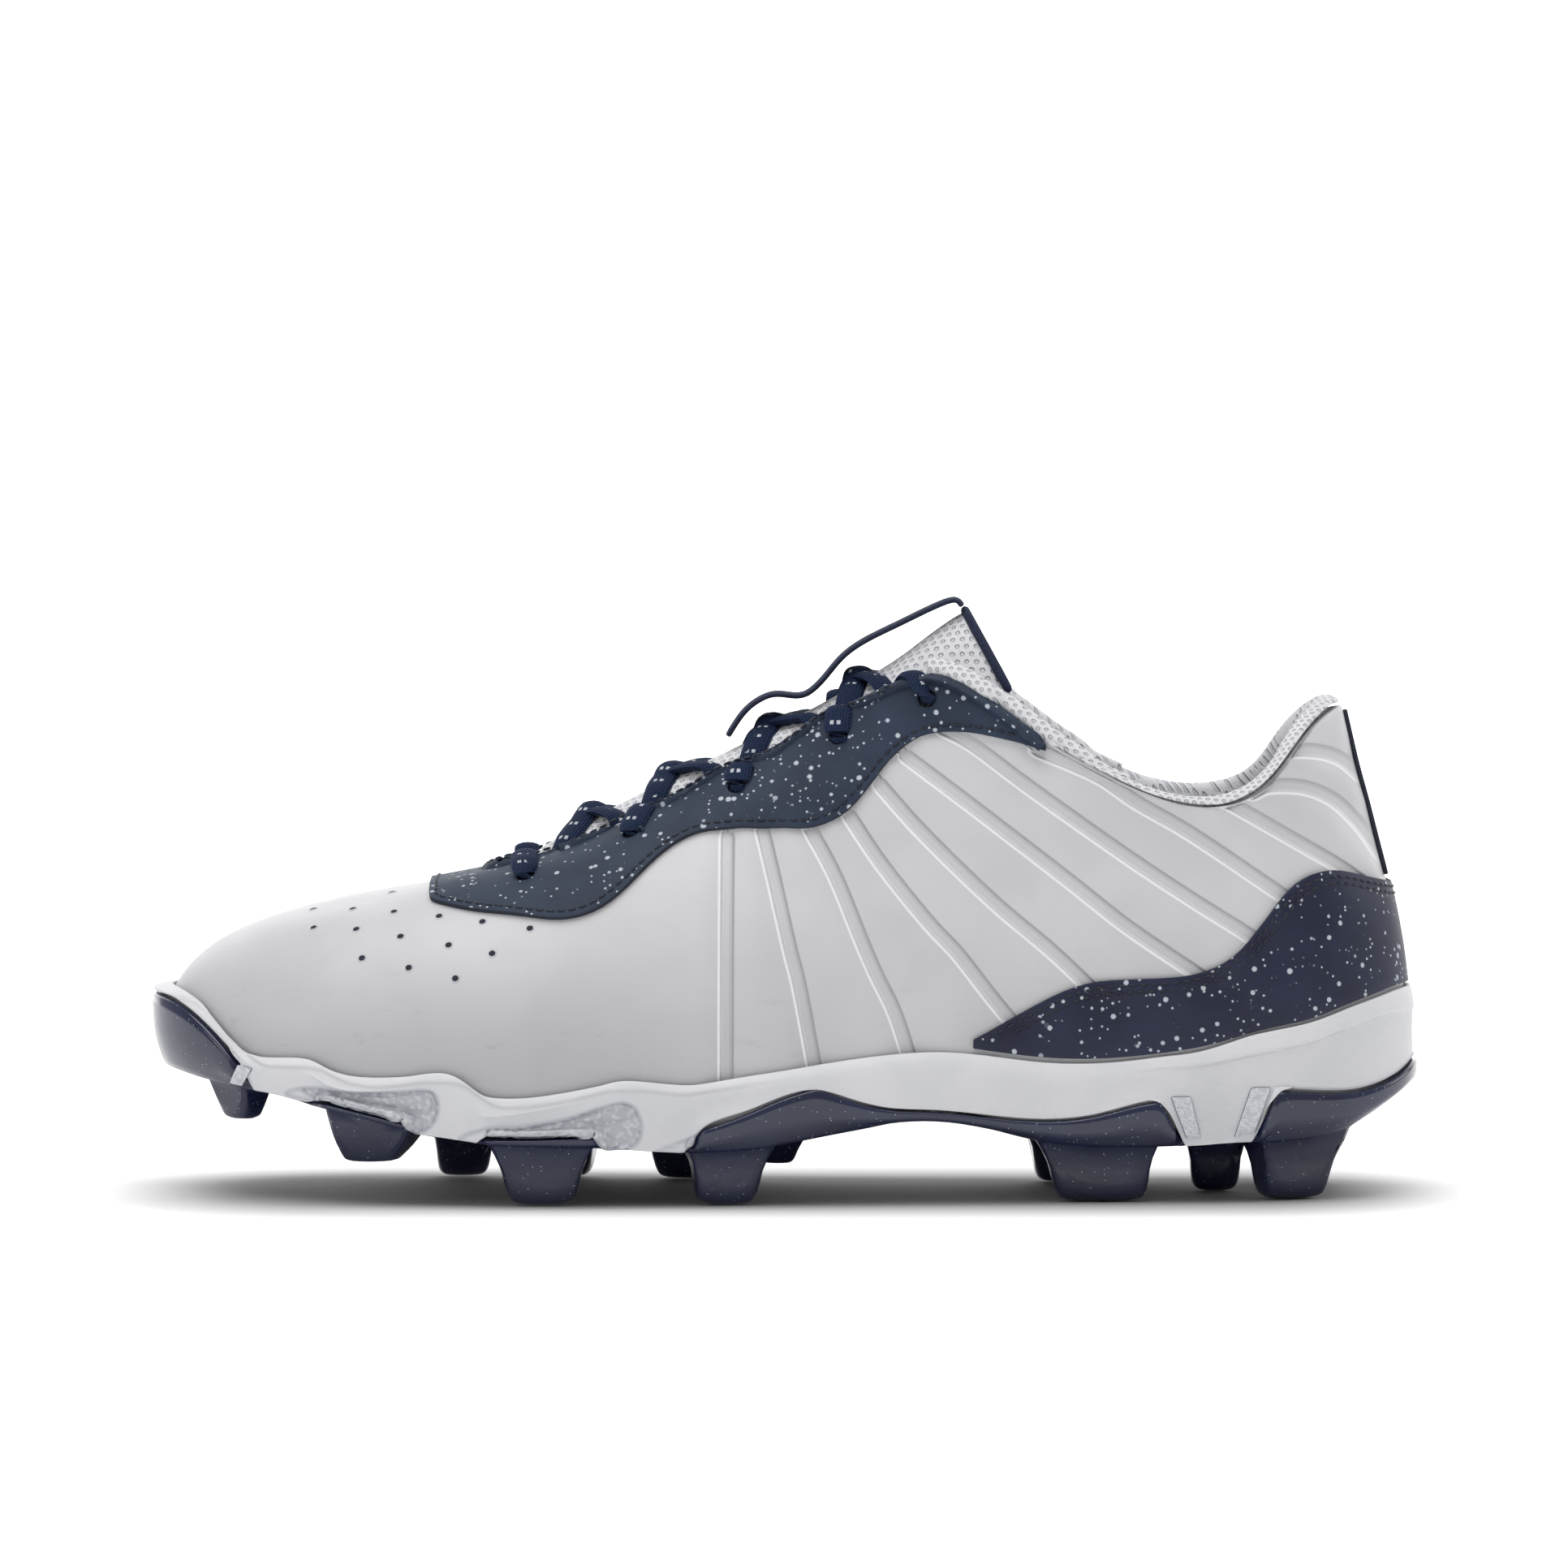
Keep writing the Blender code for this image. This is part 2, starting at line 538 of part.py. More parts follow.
def angles_between(start, end, step):
    """Angles round the toe or the heel from one place on the outer side to the same place on the inner side."""
    count = max(2, int(round(abs(end - start) / step)))
    return [start + (end - start) * index / count for index in range(count + 1)]


def strip(name, angles, lows, highs, rows, finish, collection, crests=None):
    """An overlay on the upper between two shares of the wall for each angle."""
    rings = []
    for index, angle in enumerate(angles):
        shares = rows_between(lows[index], highs[index], rows)
        lower = [over(angle, share, SEAT) for share in shares]
        upper = [over(angle, share, SEAT + OVERLAY) for share in shares]
        if crests:
            lower.append(over(angle, shares[-1], SEAT, crests[index]))
            upper.append(over(angle, shares[-1], SEAT + OVERLAY, crests[index]))
        rings.append(upper + lower[::-1])
    return loft(name, rings, False, finish, collection)


def locate(along, height, side):
    """The angle and share of a place on the upper that the side view gives."""
    angle = around(along, side)
    share = 0.8
    for _ in range(30):
        share = share_where(angle, lambda point: point.z > height)
        error = wall(angle, share).x - lengthwise(along)
        step = 0.02
        slope = (wall(angle + step, share).x - wall(angle - step, share).x) / (2.0 * step)
        angle -= 0.7 * error / slope if abs(slope) > 0.001 else 0.0
    return angle, share


def eyelet_places(side):
    return [locate(eyelet.along, eyelet.height * INSTEP_HEIGHT, side) for eyelet in EYELETS]


def punch(targets, cutters):
    """Round holes for the laces, square to the surface, through every target."""
    for side in (-1, 1):
        for index, (angle, share) in enumerate(eyelet_places(side)):
            outwards, _ = frame_at(angle, share)
            bpy.ops.mesh.primitive_cylinder_add(vertices=10, radius=EYELET / 2.0, depth=6.0 * (WALL + OVERLAY))
            drill = bpy.context.object
            drill.name = "eyelet_%d_%s" % (index + 1, "outer" if side < 0 else "inner")
            turn = outwards.to_track_quat("Z", "Y").to_matrix().to_4x4()
            drill.matrix_world = Matrix.Translation(wall(angle, share)) @ turn
            for owner in list(drill.users_collection):
                owner.objects.unlink(drill)
            cutters.objects.link(drill)
            hide_tool(drill)
            for target in targets:
                add_boolean(target, drill, "DIFFERENCE")


def crest_at(angle):
    along = SHOE.at(angle)[1]
    if along > COLLAR_FROM:
        return 0.1 * GAP
    lift = max(0.0, max(1.0 - abs(along - crest) / CREST_HALF for crest in CRESTS))
    return SCALLOP * (0.12 + 0.88 * math.sin(0.5 * math.pi * min(1.0, 1.6 * lift)))


def make_eyestay(finish, parts):
    turn = 2.0 * math.pi / UPPER_RINGS
    end = turn * round(around(0.722, -1) / turn)
    angles = angles_between(end, -end, math.pi / UPPER_RINGS)
    lows = [min(above(EYESTAY_EDGE, angle), 0.985) for angle in angles]
    highs = [1.0 for _ in angles]
    crests = [crest_at(angle) for angle in angles]
    return strip("eyestay", angles, lows, highs, 3, finish, parts, crests)


def make_counter(finish, parts):
    start = around(0.648, -1)
    angles = angles_between(start, 2.0 * math.pi - start, 0.085)
    lows, highs = [], []
    for angle in angles:
        along = (1.0 - math.cos(angle)) / 2.0
        rim = float(np.interp(along, [row.along for row in SIDES], [row.rim for row in SIDES])) * SOLE_HEIGHT
        low = share_where(angle, lambda point: point.z > rim) + 0.012
        lows.append(low)
        highs.append(max(above(COUNTER_EDGE, angle), low + 0.02))
    return strip("heel_counter", angles, lows, highs, 3, finish, parts)


def make_backstay(finish, parts):
    """The tape over the back seam, from the counter's top to the collar."""
    reach = 0.055
    angles = [math.pi - reach, math.pi, math.pi + reach]
    lows = [above(COUNTER_EDGE, angle) + 0.02 for angle in angles]
    return strip("heel_tape", angles, lows, [0.985] * 3, 7, finish, parts)


def make_collar(finish, parts):
    """The padded roll over the collar's edge and the lining that hangs from it inside."""
    turn = 2.0 * math.pi / UPPER_RINGS
    start = turn * round(around(COLLAR_FROM, -1) / turn)
    angles = angles_between(start, 2.0 * math.pi - start, turn)
    rings = []
    for angle in angles:
        away = min(angle - start, 2.0 * math.pi - start - angle)
        pad = LINING * (0.35 + 0.65 * min(1.0, max(0.0, (away - 0.15) / 0.45)))
        outwards, upwards = frame_at(angle, 1.0)
        edge = wall(angle, 1.0)
        tall = edge.z - wall(angle, 0.0).z
        low = 1.0 - LINING_DEPTH * min(1.0, 0.45 + away) / tall
        middle = (1.0 + low) / 2.0
        back = WALL + 3.6 * GAP
        ring = [
            over(angle, low, -back),
            over(angle, middle, -back),
            edge - outwards * back + upwards * 1.8 * GAP,
            edge + outwards * 0.3 * GAP + upwards * 1.8 * GAP,
            edge + outwards * GAP + upwards * 0.35 * pad,
            edge - outwards * 0.35 * pad + upwards * 0.62 * pad,
            edge - outwards * (WALL + 0.55 * pad) + upwards * 0.60 * pad,
            edge - outwards * (WALL + pad) + upwards * 0.1 * pad,
            over(angle, middle, -back - 0.85 * pad),
            over(angle, low, -back - 0.3 * pad),
        ]
        rings.append(ring)
    return loft("collar_lining", rings, False, finish, parts)


# Each row is a section of the tongue: its place and crest height as shares of LENGTH and INSTEP_HEIGHT, its half
# width and the drop of its sides as shares of BALL_WIDTH, how far the drop leans back and the padding's share.
Tongue = namedtuple("Tongue", "along crest half drop lean pad")
TONGUES = [
    Tongue(0.238, 0.536, 0.13, 0.022, 0.1, 0.40),
    Tongue(0.262, 0.566, 0.15, 0.028, 0.1, 0.42),
    Tongue(0.288, 0.620, 0.15, 0.105, 0.1, 0.5),
    Tongue(0.318, 0.678, 0.155, 0.135, 0.15, 0.6),
    Tongue(0.370, 0.745, 0.165, 0.150, 0.2, 0.7),
    Tongue(0.432, 0.825, 0.18, 0.145, 0.25, 0.8),
    Tongue(0.480, 0.882, 0.19, 0.135, 0.3, 0.8),
    Tongue(0.528, 0.942, 0.18, 0.145, 0.35, 0.85),
    Tongue(0.578, 1.012, 0.172, 0.150, 0.45, 0.9),
    Tongue(0.615, 1.078, 0.172, 0.160, 0.5, 0.95),
    Tongue(0.640, 1.114, 0.168, 0.170, 0.55, 0.75),
]


def tongue_point(row, across, sink):
    """A point across a tongue section, from -1 at the outer side to 1 at the inner, sunk below its top."""
    drop = row.drop * BALL_WIDTH * across * across
    side = (row.half * across + TONGUE_MIDDLE) * BALL_WIDTH
    return Vector((lengthwise(row.along) + row.lean * (drop + sink), side,
                   row.crest * INSTEP_HEIGHT - drop - sink))


def tongue_row(along):
    """The tongue's section at any place along it."""
    places = [row.along for row in TONGUES]
    return Tongue(*[float(np.interp(along, places, [row[column] for row in TONGUES])) for column in range(6)])


def make_tongue(finish, parts):
    rings = []
    for row in TONGUES:
        steps = rows_between(-1.0, 1.0, TONGUE_ACROSS)
        top = [tongue_point(row, step, 0.0) for step in steps]
        under = [tongue_point(row, step, TONGUE_PAD * row.pad * (1.0 - 0.5 * step ** 4)) for step in steps]
        rings.append(top + under[::-1])
    return loft("tongue", rings, False, finish, parts)


def make_tongue_binding(finish, parts):
    """The binding along the tongue's top edge."""
    row = TONGUES[-1]
    slope = Vector((0.5, 0.0, 0.87))
    rings = []
    for step in rows_between(-1.0, 1.0, TONGUE_ACROSS):
        high = tongue_point(row, step, 0.0)
        low = tongue_point(row, step, TONGUE_PAD * row.pad * (1.0 - 0.5 * step ** 4))
        lift = Vector((GAP * 1.2, 0.0, GAP * 0.8))
        rings.append([high + lift, high + lift + slope * 0.3 * WALL, low + lift + slope * 0.3 * WALL, low + lift])
    return loft("tongue_binding", rings, False, finish, parts)


def smooth_path(points, steps):
    """Points on a smooth curve through the given ones."""
    ends = [points[0] * 2.0 - points[1]] + list(points) + [points[-1] * 2.0 - points[-2]]
    path = []
    for one, two, three, four in zip(ends, ends[1:], ends[2:], ends[3:]):
        for step in range(steps):
            t = step / steps
            path.append(0.5 * (two * 2.0 + (three - one) * t + (one * 2.0 - two * 5.0 + three * 4.0 - four) * t * t
                               + (two * 3.0 - one - three * 3.0 + four) * t ** 3))
    path.append(points[-1].copy())
    return path


def ribbon(name, path, ups, width, thickness, finish, collection):
    """A flat band along a path, with round edges, its face turned to the given directions."""
    rings = []
    for index, point in enumerate(path):
        before, after = path[max(index - 1, 0)], path[min(index + 1, len(path) - 1)]
        run = (after - before).normalized()
        side = run.cross(ups[index]).normalized()
        face = side.cross(run).normalized()
        corners = [(-0.5, 0.0), (-0.32, 0.5), (0.32, 0.5), (0.5, 0.0), (0.32, -0.5), (-0.32, -0.5)]
        rings.append([point + side * width * across + face * thickness * up for across, up in corners])
    return loft(name, rings, False, finish, collection)


# Each row is a crossing: where it stands along the shoe, the crest of the eyestay that its front ends come over
# and the one that its rear ends go under, as shares of LENGTH.
Crossing = namedtuple("Crossing", "along front rear")
CROSSINGS = [
    Crossing(0.348, 0.335, 0.370), Crossing(0.411, 0.390, 0.443),
    Crossing(0.490, 0.470, 0.520), Crossing(0.558, 0.545, 0.590),
]


def on_tongue(along, across, lift):
    """A point above the tongue's top at a place along it."""
    return tongue_point(tongue_row(along), across, -lift)


def crossing_path(crossing, side):
    """A strand from its front end on one side, over the tongue, to its rear end on the other side.

    The outer side's strand lies on top of the other one where they cross.
    """
    rest = LACE_CLEAR + 0.5 * LACE_THICKNESS
    over_cross = rest + (0.62 if side < 0 else 0.25) * LACE_THICKNESS
    middle = on_tongue(crossing.along, 0.03 * side, over_cross)
    front = on_tongue(crossing.front, 0.52 * side, rest + 0.2 * LACE_THICKNESS)
    rear = on_tongue(crossing.rear, -0.52 * side, rest + 0.2 * LACE_THICKNESS)
    return [front, front.lerp(middle, 0.5) + Vector((0.0, 0.0, 0.35 * LACE_THICKNESS)), middle,
            rear.lerp(middle, 0.5) + Vector((0.0, 0.0, 0.35 * LACE_THICKNESS)), rear]


def surface_up(point):
    """The direction away from the tongue, for a lace that lies on it."""
    return Vector((-0.35, 0.9 * (point.y - TONGUE_MIDDLE * BALL_WIDTH) / (0.2 * BALL_WIDTH), 1.0)).normalized()


def make_crossings(finish, parts, cutters):
    """Each crossing is two flat strands joined where they cross."""
    for index, crossing in enumerate(CROSSINGS):
        strands = []
        for side in (-1, 1):
            path = smooth_path(crossing_path(crossing, side), 2)
            name = "lace_cross_%d" % (index + 1)
            holder = parts if side < 0 else cutters
            name = name if side < 0 else name + "_other"
            ups = [surface_up(point) for point in path]
            strands.append(ribbon(name, path, ups, LACE_WIDTH, LACE_THICKNESS, finish, holder))
        add_boolean(strands[0], strands[1], "UNION")
        hide_tool(strands[1])


def make_lace_bar(finish, parts):
    """The straight bar over the front pair of eyelets."""
    lift = SEAT + OVERLAY + LACE_CLEAR + 0.5 * LACE_THICKNESS
    ends = []
    for side in (-1, 1):
        angle, share = locate(EYELETS[0].along, EYELETS[0].height * INSTEP_HEIGHT, side)
        ends.append([over(angle, share, lift), over(angle, min(1.0, share + 0.10), lift + 0.3 * LACE_THICKNESS),
                     over(angle, 1.0, lift + 0.5 * LACE_THICKNESS, SCALLOP)])
    middle = on_tongue(0.292, 0.0, LACE_CLEAR + LACE_THICKNESS)
    middle.z = max(middle.z, ends[0][2].z)
    path = smooth_path(ends[0] + [middle] + ends[1][::-1], 2)
    ups = [surface_up(point) for point in path]
    ribbon("lace_bar", path, ups, LACE_WIDTH, LACE_THICKNESS, finish, parts)


# The webbing keeper on the tongue, from its peak down over the top two crossings: shares of LENGTH and
# INSTEP_HEIGHT along the middle of the shoe
KEEPER = [
    Edge(0.640, 1.124), Edge(0.634, 1.136), Edge(0.615, 1.118), Edge(0.590, 1.088), Edge(0.563, 1.056),
    Edge(0.545, 1.024), Edge(0.532, 0.985), Edge(0.519, 0.955), Edge(0.507, 0.950), Edge(0.490, 0.954),
    Edge(0.470, 0.925), Edge(0.456, 0.874),
]


def make_keeper(finish, parts):
    middle = TONGUE_MIDDLE * BALL_WIDTH
    points = [Vector((lengthwise(edge.along), middle, edge.height * INSTEP_HEIGHT)) for edge in KEEPER]
    path = smooth_path(points, 2)
    up = Vector((-0.6, 0.0, 1.0))
    ribbon("tongue_webbing", path, [up] * len(path), WEBBING_WIDTH, WEBBING, finish, parts)


def main():
    for old in list(bpy.data.objects):
        bpy.data.objects.remove(old, do_unlink=True)
    parts = bpy.data.collections.new("baseball_cleat")
    cutters = bpy.data.collections.new("cutters")
    bpy.context.scene.collection.children.link(parts)
    bpy.context.scene.collection.children.link(cutters)
    navy = material("navy moulding", (0.022, 0.028, 0.075), 0.3)
    overlay = material("navy speckled leather", (0.034, 0.052, 0.095), 0.6)
    knit = material("white knit", (0.80, 0.80, 0.80), 0.95)
    webbing = material("navy webbing", (0.008, 0.013, 0.036), 0.9)
    make_outsole(navy, parts, cutters)
    make_midsole(material("white foam", (0.84, 0.84, 0.85), 0.55), parts)
    upper = make_upper(material("white leather", (0.80, 0.80, 0.81), 0.42), parts)
    make_insole(material("insole cloth", (0.60, 0.60, 0.62), 0.9), parts)
    eyestay = make_eyestay(overlay, parts)
    punch([upper, eyestay], cutters)
    make_counter(overlay, parts)
    make_backstay(webbing, parts)
    make_collar(knit, parts)
    make_tongue(knit, parts)
    make_tongue_binding(webbing, parts)
    make_keeper(webbing, parts)
    lace = material("navy lace", (0.008, 0.014, 0.045), 0.85)
    make_crossings(lace, parts, cutters)
    make_lace_bar(lace, parts)


main()
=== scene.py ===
# %% [markdown]
# # A baseball cleat, finished by hand over its plain model
#
# The shoe is a left one: its toe points to -X, its outer side to -Y, and it stands on its studs at
# height 0. The plain model gives every piece its true place and size. Here each one becomes a finer
# surface, gets its ribs, seams, stitches, holes and laces, and a finish that is worked out from its
# place on the shoe.

# %%
import math

import bmesh
import bpy
import numpy as np
from mathutils import Matrix, Vector
from mathutils.bvhtree import BVHTree
from mathutils.kdtree import KDTree


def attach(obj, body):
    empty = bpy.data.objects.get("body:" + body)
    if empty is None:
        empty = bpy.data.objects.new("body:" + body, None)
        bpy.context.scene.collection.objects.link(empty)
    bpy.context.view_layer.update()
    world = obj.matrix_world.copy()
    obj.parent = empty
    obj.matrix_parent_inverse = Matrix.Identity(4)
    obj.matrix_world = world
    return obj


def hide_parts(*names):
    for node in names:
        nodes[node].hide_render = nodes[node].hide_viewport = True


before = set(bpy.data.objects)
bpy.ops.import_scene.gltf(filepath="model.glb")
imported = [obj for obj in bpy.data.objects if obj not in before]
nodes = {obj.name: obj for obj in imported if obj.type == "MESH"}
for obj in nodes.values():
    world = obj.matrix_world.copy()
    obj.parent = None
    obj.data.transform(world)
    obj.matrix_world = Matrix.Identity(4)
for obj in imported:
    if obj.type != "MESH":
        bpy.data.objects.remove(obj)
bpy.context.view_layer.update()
MM = 0.001
MIDDLE = 1.35  # across the shoe, in millimetres: the plane halfway between its two sides
TONGUE_MIDDLE = 1.85
SIDE_NAMES = {-1: "outer", 1: "inner"}

# %% [markdown]
# ## Working habits
#
# Every piece starts from nothing selected. A part of the plain model is loose triangles, so a copy of
# it is merged, joined back into four-sided faces where they are flat, and only then made finer. Sharp
# edges are kept by creasing them, which a polygon modeller would do by hand on the same edges.

# %%
def only(*objects):
    """Select these objects and nothing else, the first one active."""
    bpy.ops.object.select_all(action="DESELECT")
    for each in objects:
        each.select_set(True)
    bpy.context.view_layer.objects.active = objects[0]


def in_edit(obj, *steps):
    """Run a few modelling steps in edit mode on all of one object."""
    only(obj)
    bpy.ops.object.mode_set(mode="EDIT")
    bpy.ops.mesh.select_all(action="SELECT")
    for step in steps:
        step()
    bpy.ops.object.mode_set(mode="OBJECT")


def choose(obj, kind, test):
    """Select the vertices, edges or faces of a mesh that pass a test."""
    only(obj)
    bpy.ops.object.mode_set(mode="EDIT")
    bpy.ops.mesh.select_mode(type=kind)
    bpy.ops.mesh.select_all(action="DESELECT")
    work = bmesh.from_edit_mesh(obj.data)
    items = {"VERT": work.verts, "EDGE": work.edges, "FACE": work.faces}[kind]
    for item in items:
        item.select = bool(test(item))
    work.select_flush_mode()
    bmesh.update_edit_mesh(obj.data)


def apply(obj, kind, **settings):
    """Add a modifier with these settings and apply it."""
    modifier = obj.modifiers.new("step", kind)
    for key, value in settings.items():
        setattr(modifier, key, value)
    only(obj)
    bpy.ops.object.modifier_apply(modifier=modifier.name)


def placed(name, data):
    """A new object of the scene that shows this mesh, curve, lamp or camera."""
    made = bpy.data.objects.new(name, data)
    bpy.context.scene.collection.objects.link(made)
    return made


def copy_of(name, new_name):
    """A merged copy of a plain piece, with four-sided faces where it is flat."""
    source = nodes[name]
    mesh = source.data.copy()
    mesh.transform(source.matrix_world)
    mesh.name = new_name
    made = placed(new_name, mesh)
    mesh.materials.clear()
    in_edit(made,
            lambda: bpy.ops.mesh.remove_doubles(threshold=0.02 * MM),
            lambda: bpy.ops.mesh.tris_convert_to_quads(
                face_threshold=math.radians(28), shape_threshold=math.radians(60)),
            lambda: bpy.ops.mesh.normals_make_consistent(inside=False))
    return made


def crease_sharp(obj, angle, crease):
    """Crease the edges that bend more than an angle, and those that bound a hole."""
    work = bmesh.new()
    work.from_mesh(obj.data)
    layer = work.edges.layers.float.get("crease_edge") or work.edges.layers.float.new("crease_edge")
    for edge in work.edges:
        if len(edge.link_faces) != 2 or edge.calc_face_angle(0.0) > math.radians(angle):
            edge[layer] = crease
    work.to_mesh(obj.data)
    work.free()


def finer(obj, levels, sharp=None, crease=0.7):
    """Smooth subdivision, keeping edges sharper than an angle."""
    if sharp:
        crease_sharp(obj, sharp, crease)
    apply(obj, "SUBSURF", levels=levels, render_levels=levels)
    only(obj)
    bpy.ops.object.shade_smooth()


def settle(obj, material, slot, *stands_for):
    """Give a finished piece its finish and its body. The slot is not used."""
    obj.data.materials.clear()
    obj.data.materials.append(material)
    if stands_for:
        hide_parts(*stands_for)
    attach(obj, "root")
    triangles = sum(len(face.vertices) - 2 for face in obj.data.polygons)
    print(f"{obj.name}: {triangles} triangles")


def tree_of(obj):
    """A piece as something that rays can be cast at."""
    corners = [tuple(vertex.co) for vertex in obj.data.vertices]
    faces = [tuple(face.vertices) for face in obj.data.polygons]
    return BVHTree.FromPolygons(corners, faces)


def smooth_line(points, step):
    """Points every step along a smooth curve through the given ones."""
    points = [Vector(point) for point in points]
    ends = [points[0] * 2 - points[1]] + points + [points[-1] * 2 - points[-2]]
    fine = []
    for a, b, c, d in zip(ends, ends[1:], ends[2:], ends[3:]):
        for index in range(12):
            t = index / 12
            bend = (a * 2 - b * 5 + c * 4 - d) * t ** 2 + (b * 3 - a - c * 3 + d) * t ** 3
            fine.append(0.5 * (b * 2 + (c - a) * t + bend))
    fine.append(points[-1].copy())
    return even(fine, step)


def even(points, step):
    """The same line with points an even step apart."""
    lengths = [0.0]
    for one, two in zip(points, points[1:]):
        lengths.append(lengths[-1] + (two - one).length)
    count = max(2, round(lengths[-1] / step))
    places = np.linspace(0.0, lengths[-1], count + 1)
    columns = [np.interp(places, lengths, values) for values in zip(*points)]
    return [Vector(values) for values in zip(*columns)]

# %% [markdown]
# ## Shader sums written as sums
#
# A finish is a small calculation on the place of each point. `Value` holds one result and takes plus,
# minus, times and so on, so that the calculation reads like one. Any other node comes from
# `Finish.node`.

# %%
class Value:
    """One result inside a finish, which ordinary arithmetic works on."""

    def __init__(self, finish, socket):
        self.finish, self.socket = finish, socket

    def maths(self, operation, *others):
        values = dict(enumerate((self, *others)))
        return self.finish.node("ShaderNodeMath", {"operation": operation}, values)

    def __add__(self, other):
        return self.maths("ADD", other)

    def __sub__(self, other):
        return self.maths("SUBTRACT", other)

    def __rsub__(self, other):
        return self.maths("MULTIPLY", -1.0) + other

    def __mul__(self, other):
        return self.maths("MULTIPLY", other)

    def __truediv__(self, other):
        return self.maths("DIVIDE", other)

    def most(self, other):
        return self.maths("MAXIMUM", other)

    def wave(self):
        return self.maths("SINE")

    def size(self):
        return self.maths("ABSOLUTE")

    def step(self, low, high):
        """0 below low and 1 above high, smoothly between them; the other way round if low is the greater."""
        settings = {"interpolation_type": "SMOOTHSTEP"}
        return self.finish.node("ShaderNodeMapRange", settings, {0: self, 1: low, 2: high, 3: 0.0, 4: 1.0})


class Finish:
    """One material while it is being built. x, y and z are the place on the shoe in millimetres."""

    def __init__(self, name):
        self.material = bpy.data.materials.new(name)
        self.material.use_nodes = True
        self.tree = self.material.node_tree
        self.shader = self.tree.nodes["Principled BSDF"]
        place = self.node("ShaderNodeTexCoord", output="Object")
        self.place = self.node("ShaderNodeVectorMath", {"operation": "SCALE"}, {0: place, "Scale": 1000.0})
        self.x = self.node("ShaderNodeSeparateXYZ", {}, {0: self.place}, 0)
        self.y = self.node("ShaderNodeSeparateXYZ", {}, {0: self.place}, 1)
        self.z = self.node("ShaderNodeSeparateXYZ", {}, {0: self.place}, 2)

    def node(self, kind, settings=None, values=None, output=0):
        made = self.tree.nodes.new(kind)
        for name, setting in (settings or {}).items():
            setattr(made, name, setting)
        for name, value in (values or {}).items():
            if isinstance(value, Value):
                self.tree.links.new(value.socket, made.inputs[name])
            else:
                made.inputs[name].default_value = value
        return Value(self, made.outputs[output])

    def vector(self, x, y, z):
        return self.node("ShaderNodeCombineXYZ", {}, {0: x, 1: y, 2: z})

    def read(self, name):
        """A number that the mesh carries at each point; 0 where a piece doesn't carry it."""
        return self.node("ShaderNodeAttribute", {"attribute_name": name}, {}, "Fac")

    def noise(self, size, detail=2.0, rough=0.5, place=None):
        """Soft noise about 0.5, with lumps about this many millimetres across."""
        return self.node("ShaderNodeTexNoise", {}, {
            "Vector": place or self.place, "Scale": 1.0 / size, "Detail": detail, "Roughness": rough})

    def cells(self, size, feature="F1", spread=1.0, place=None, output="Distance"):
        """Distance from the nearest of points this many millimetres apart, as a share of that."""
        return self.node("ShaderNodeTexVoronoi", {"feature": feature}, {
            "Vector": place or self.place, "Scale": 1.0 / size, "Randomness": spread}, output)

    def mix(self, share, one, two):
        """From colour one at share 0 to colour two at share 1."""
        return self.node("ShaderNodeMix", {"data_type": "RGBA"}, {0: share, 6: one, 7: two}, 2)

    def set(self, **inputs):
        for name, value in inputs.items():
            socket = self.shader.inputs[name.replace("_", " ").title().replace("Ior", "IOR")]
            if isinstance(value, Value):
                self.tree.links.new(value.socket, socket)
            else:
                socket.default_value = value

    def relief(self, height, depth, below=None):
        """Bumps: height 0 to 1 stands for depth millimetres, over any relief made before."""
        values = {"Strength": 1.0, "Distance": depth * MM, "Height": height}
        if below:
            values["Normal"] = below
        return self.node("ShaderNodeBump", {}, values)


def paint(red, green, blue):
    """A linear colour from the 0 to 255 values that a screen shows."""
    shares = [value / 255 for value in (red, green, blue)]
    return (*[share / 12.92 if share < 0.04 else ((share + 0.055) / 1.055) ** 2.4 for share in shares], 1.0)
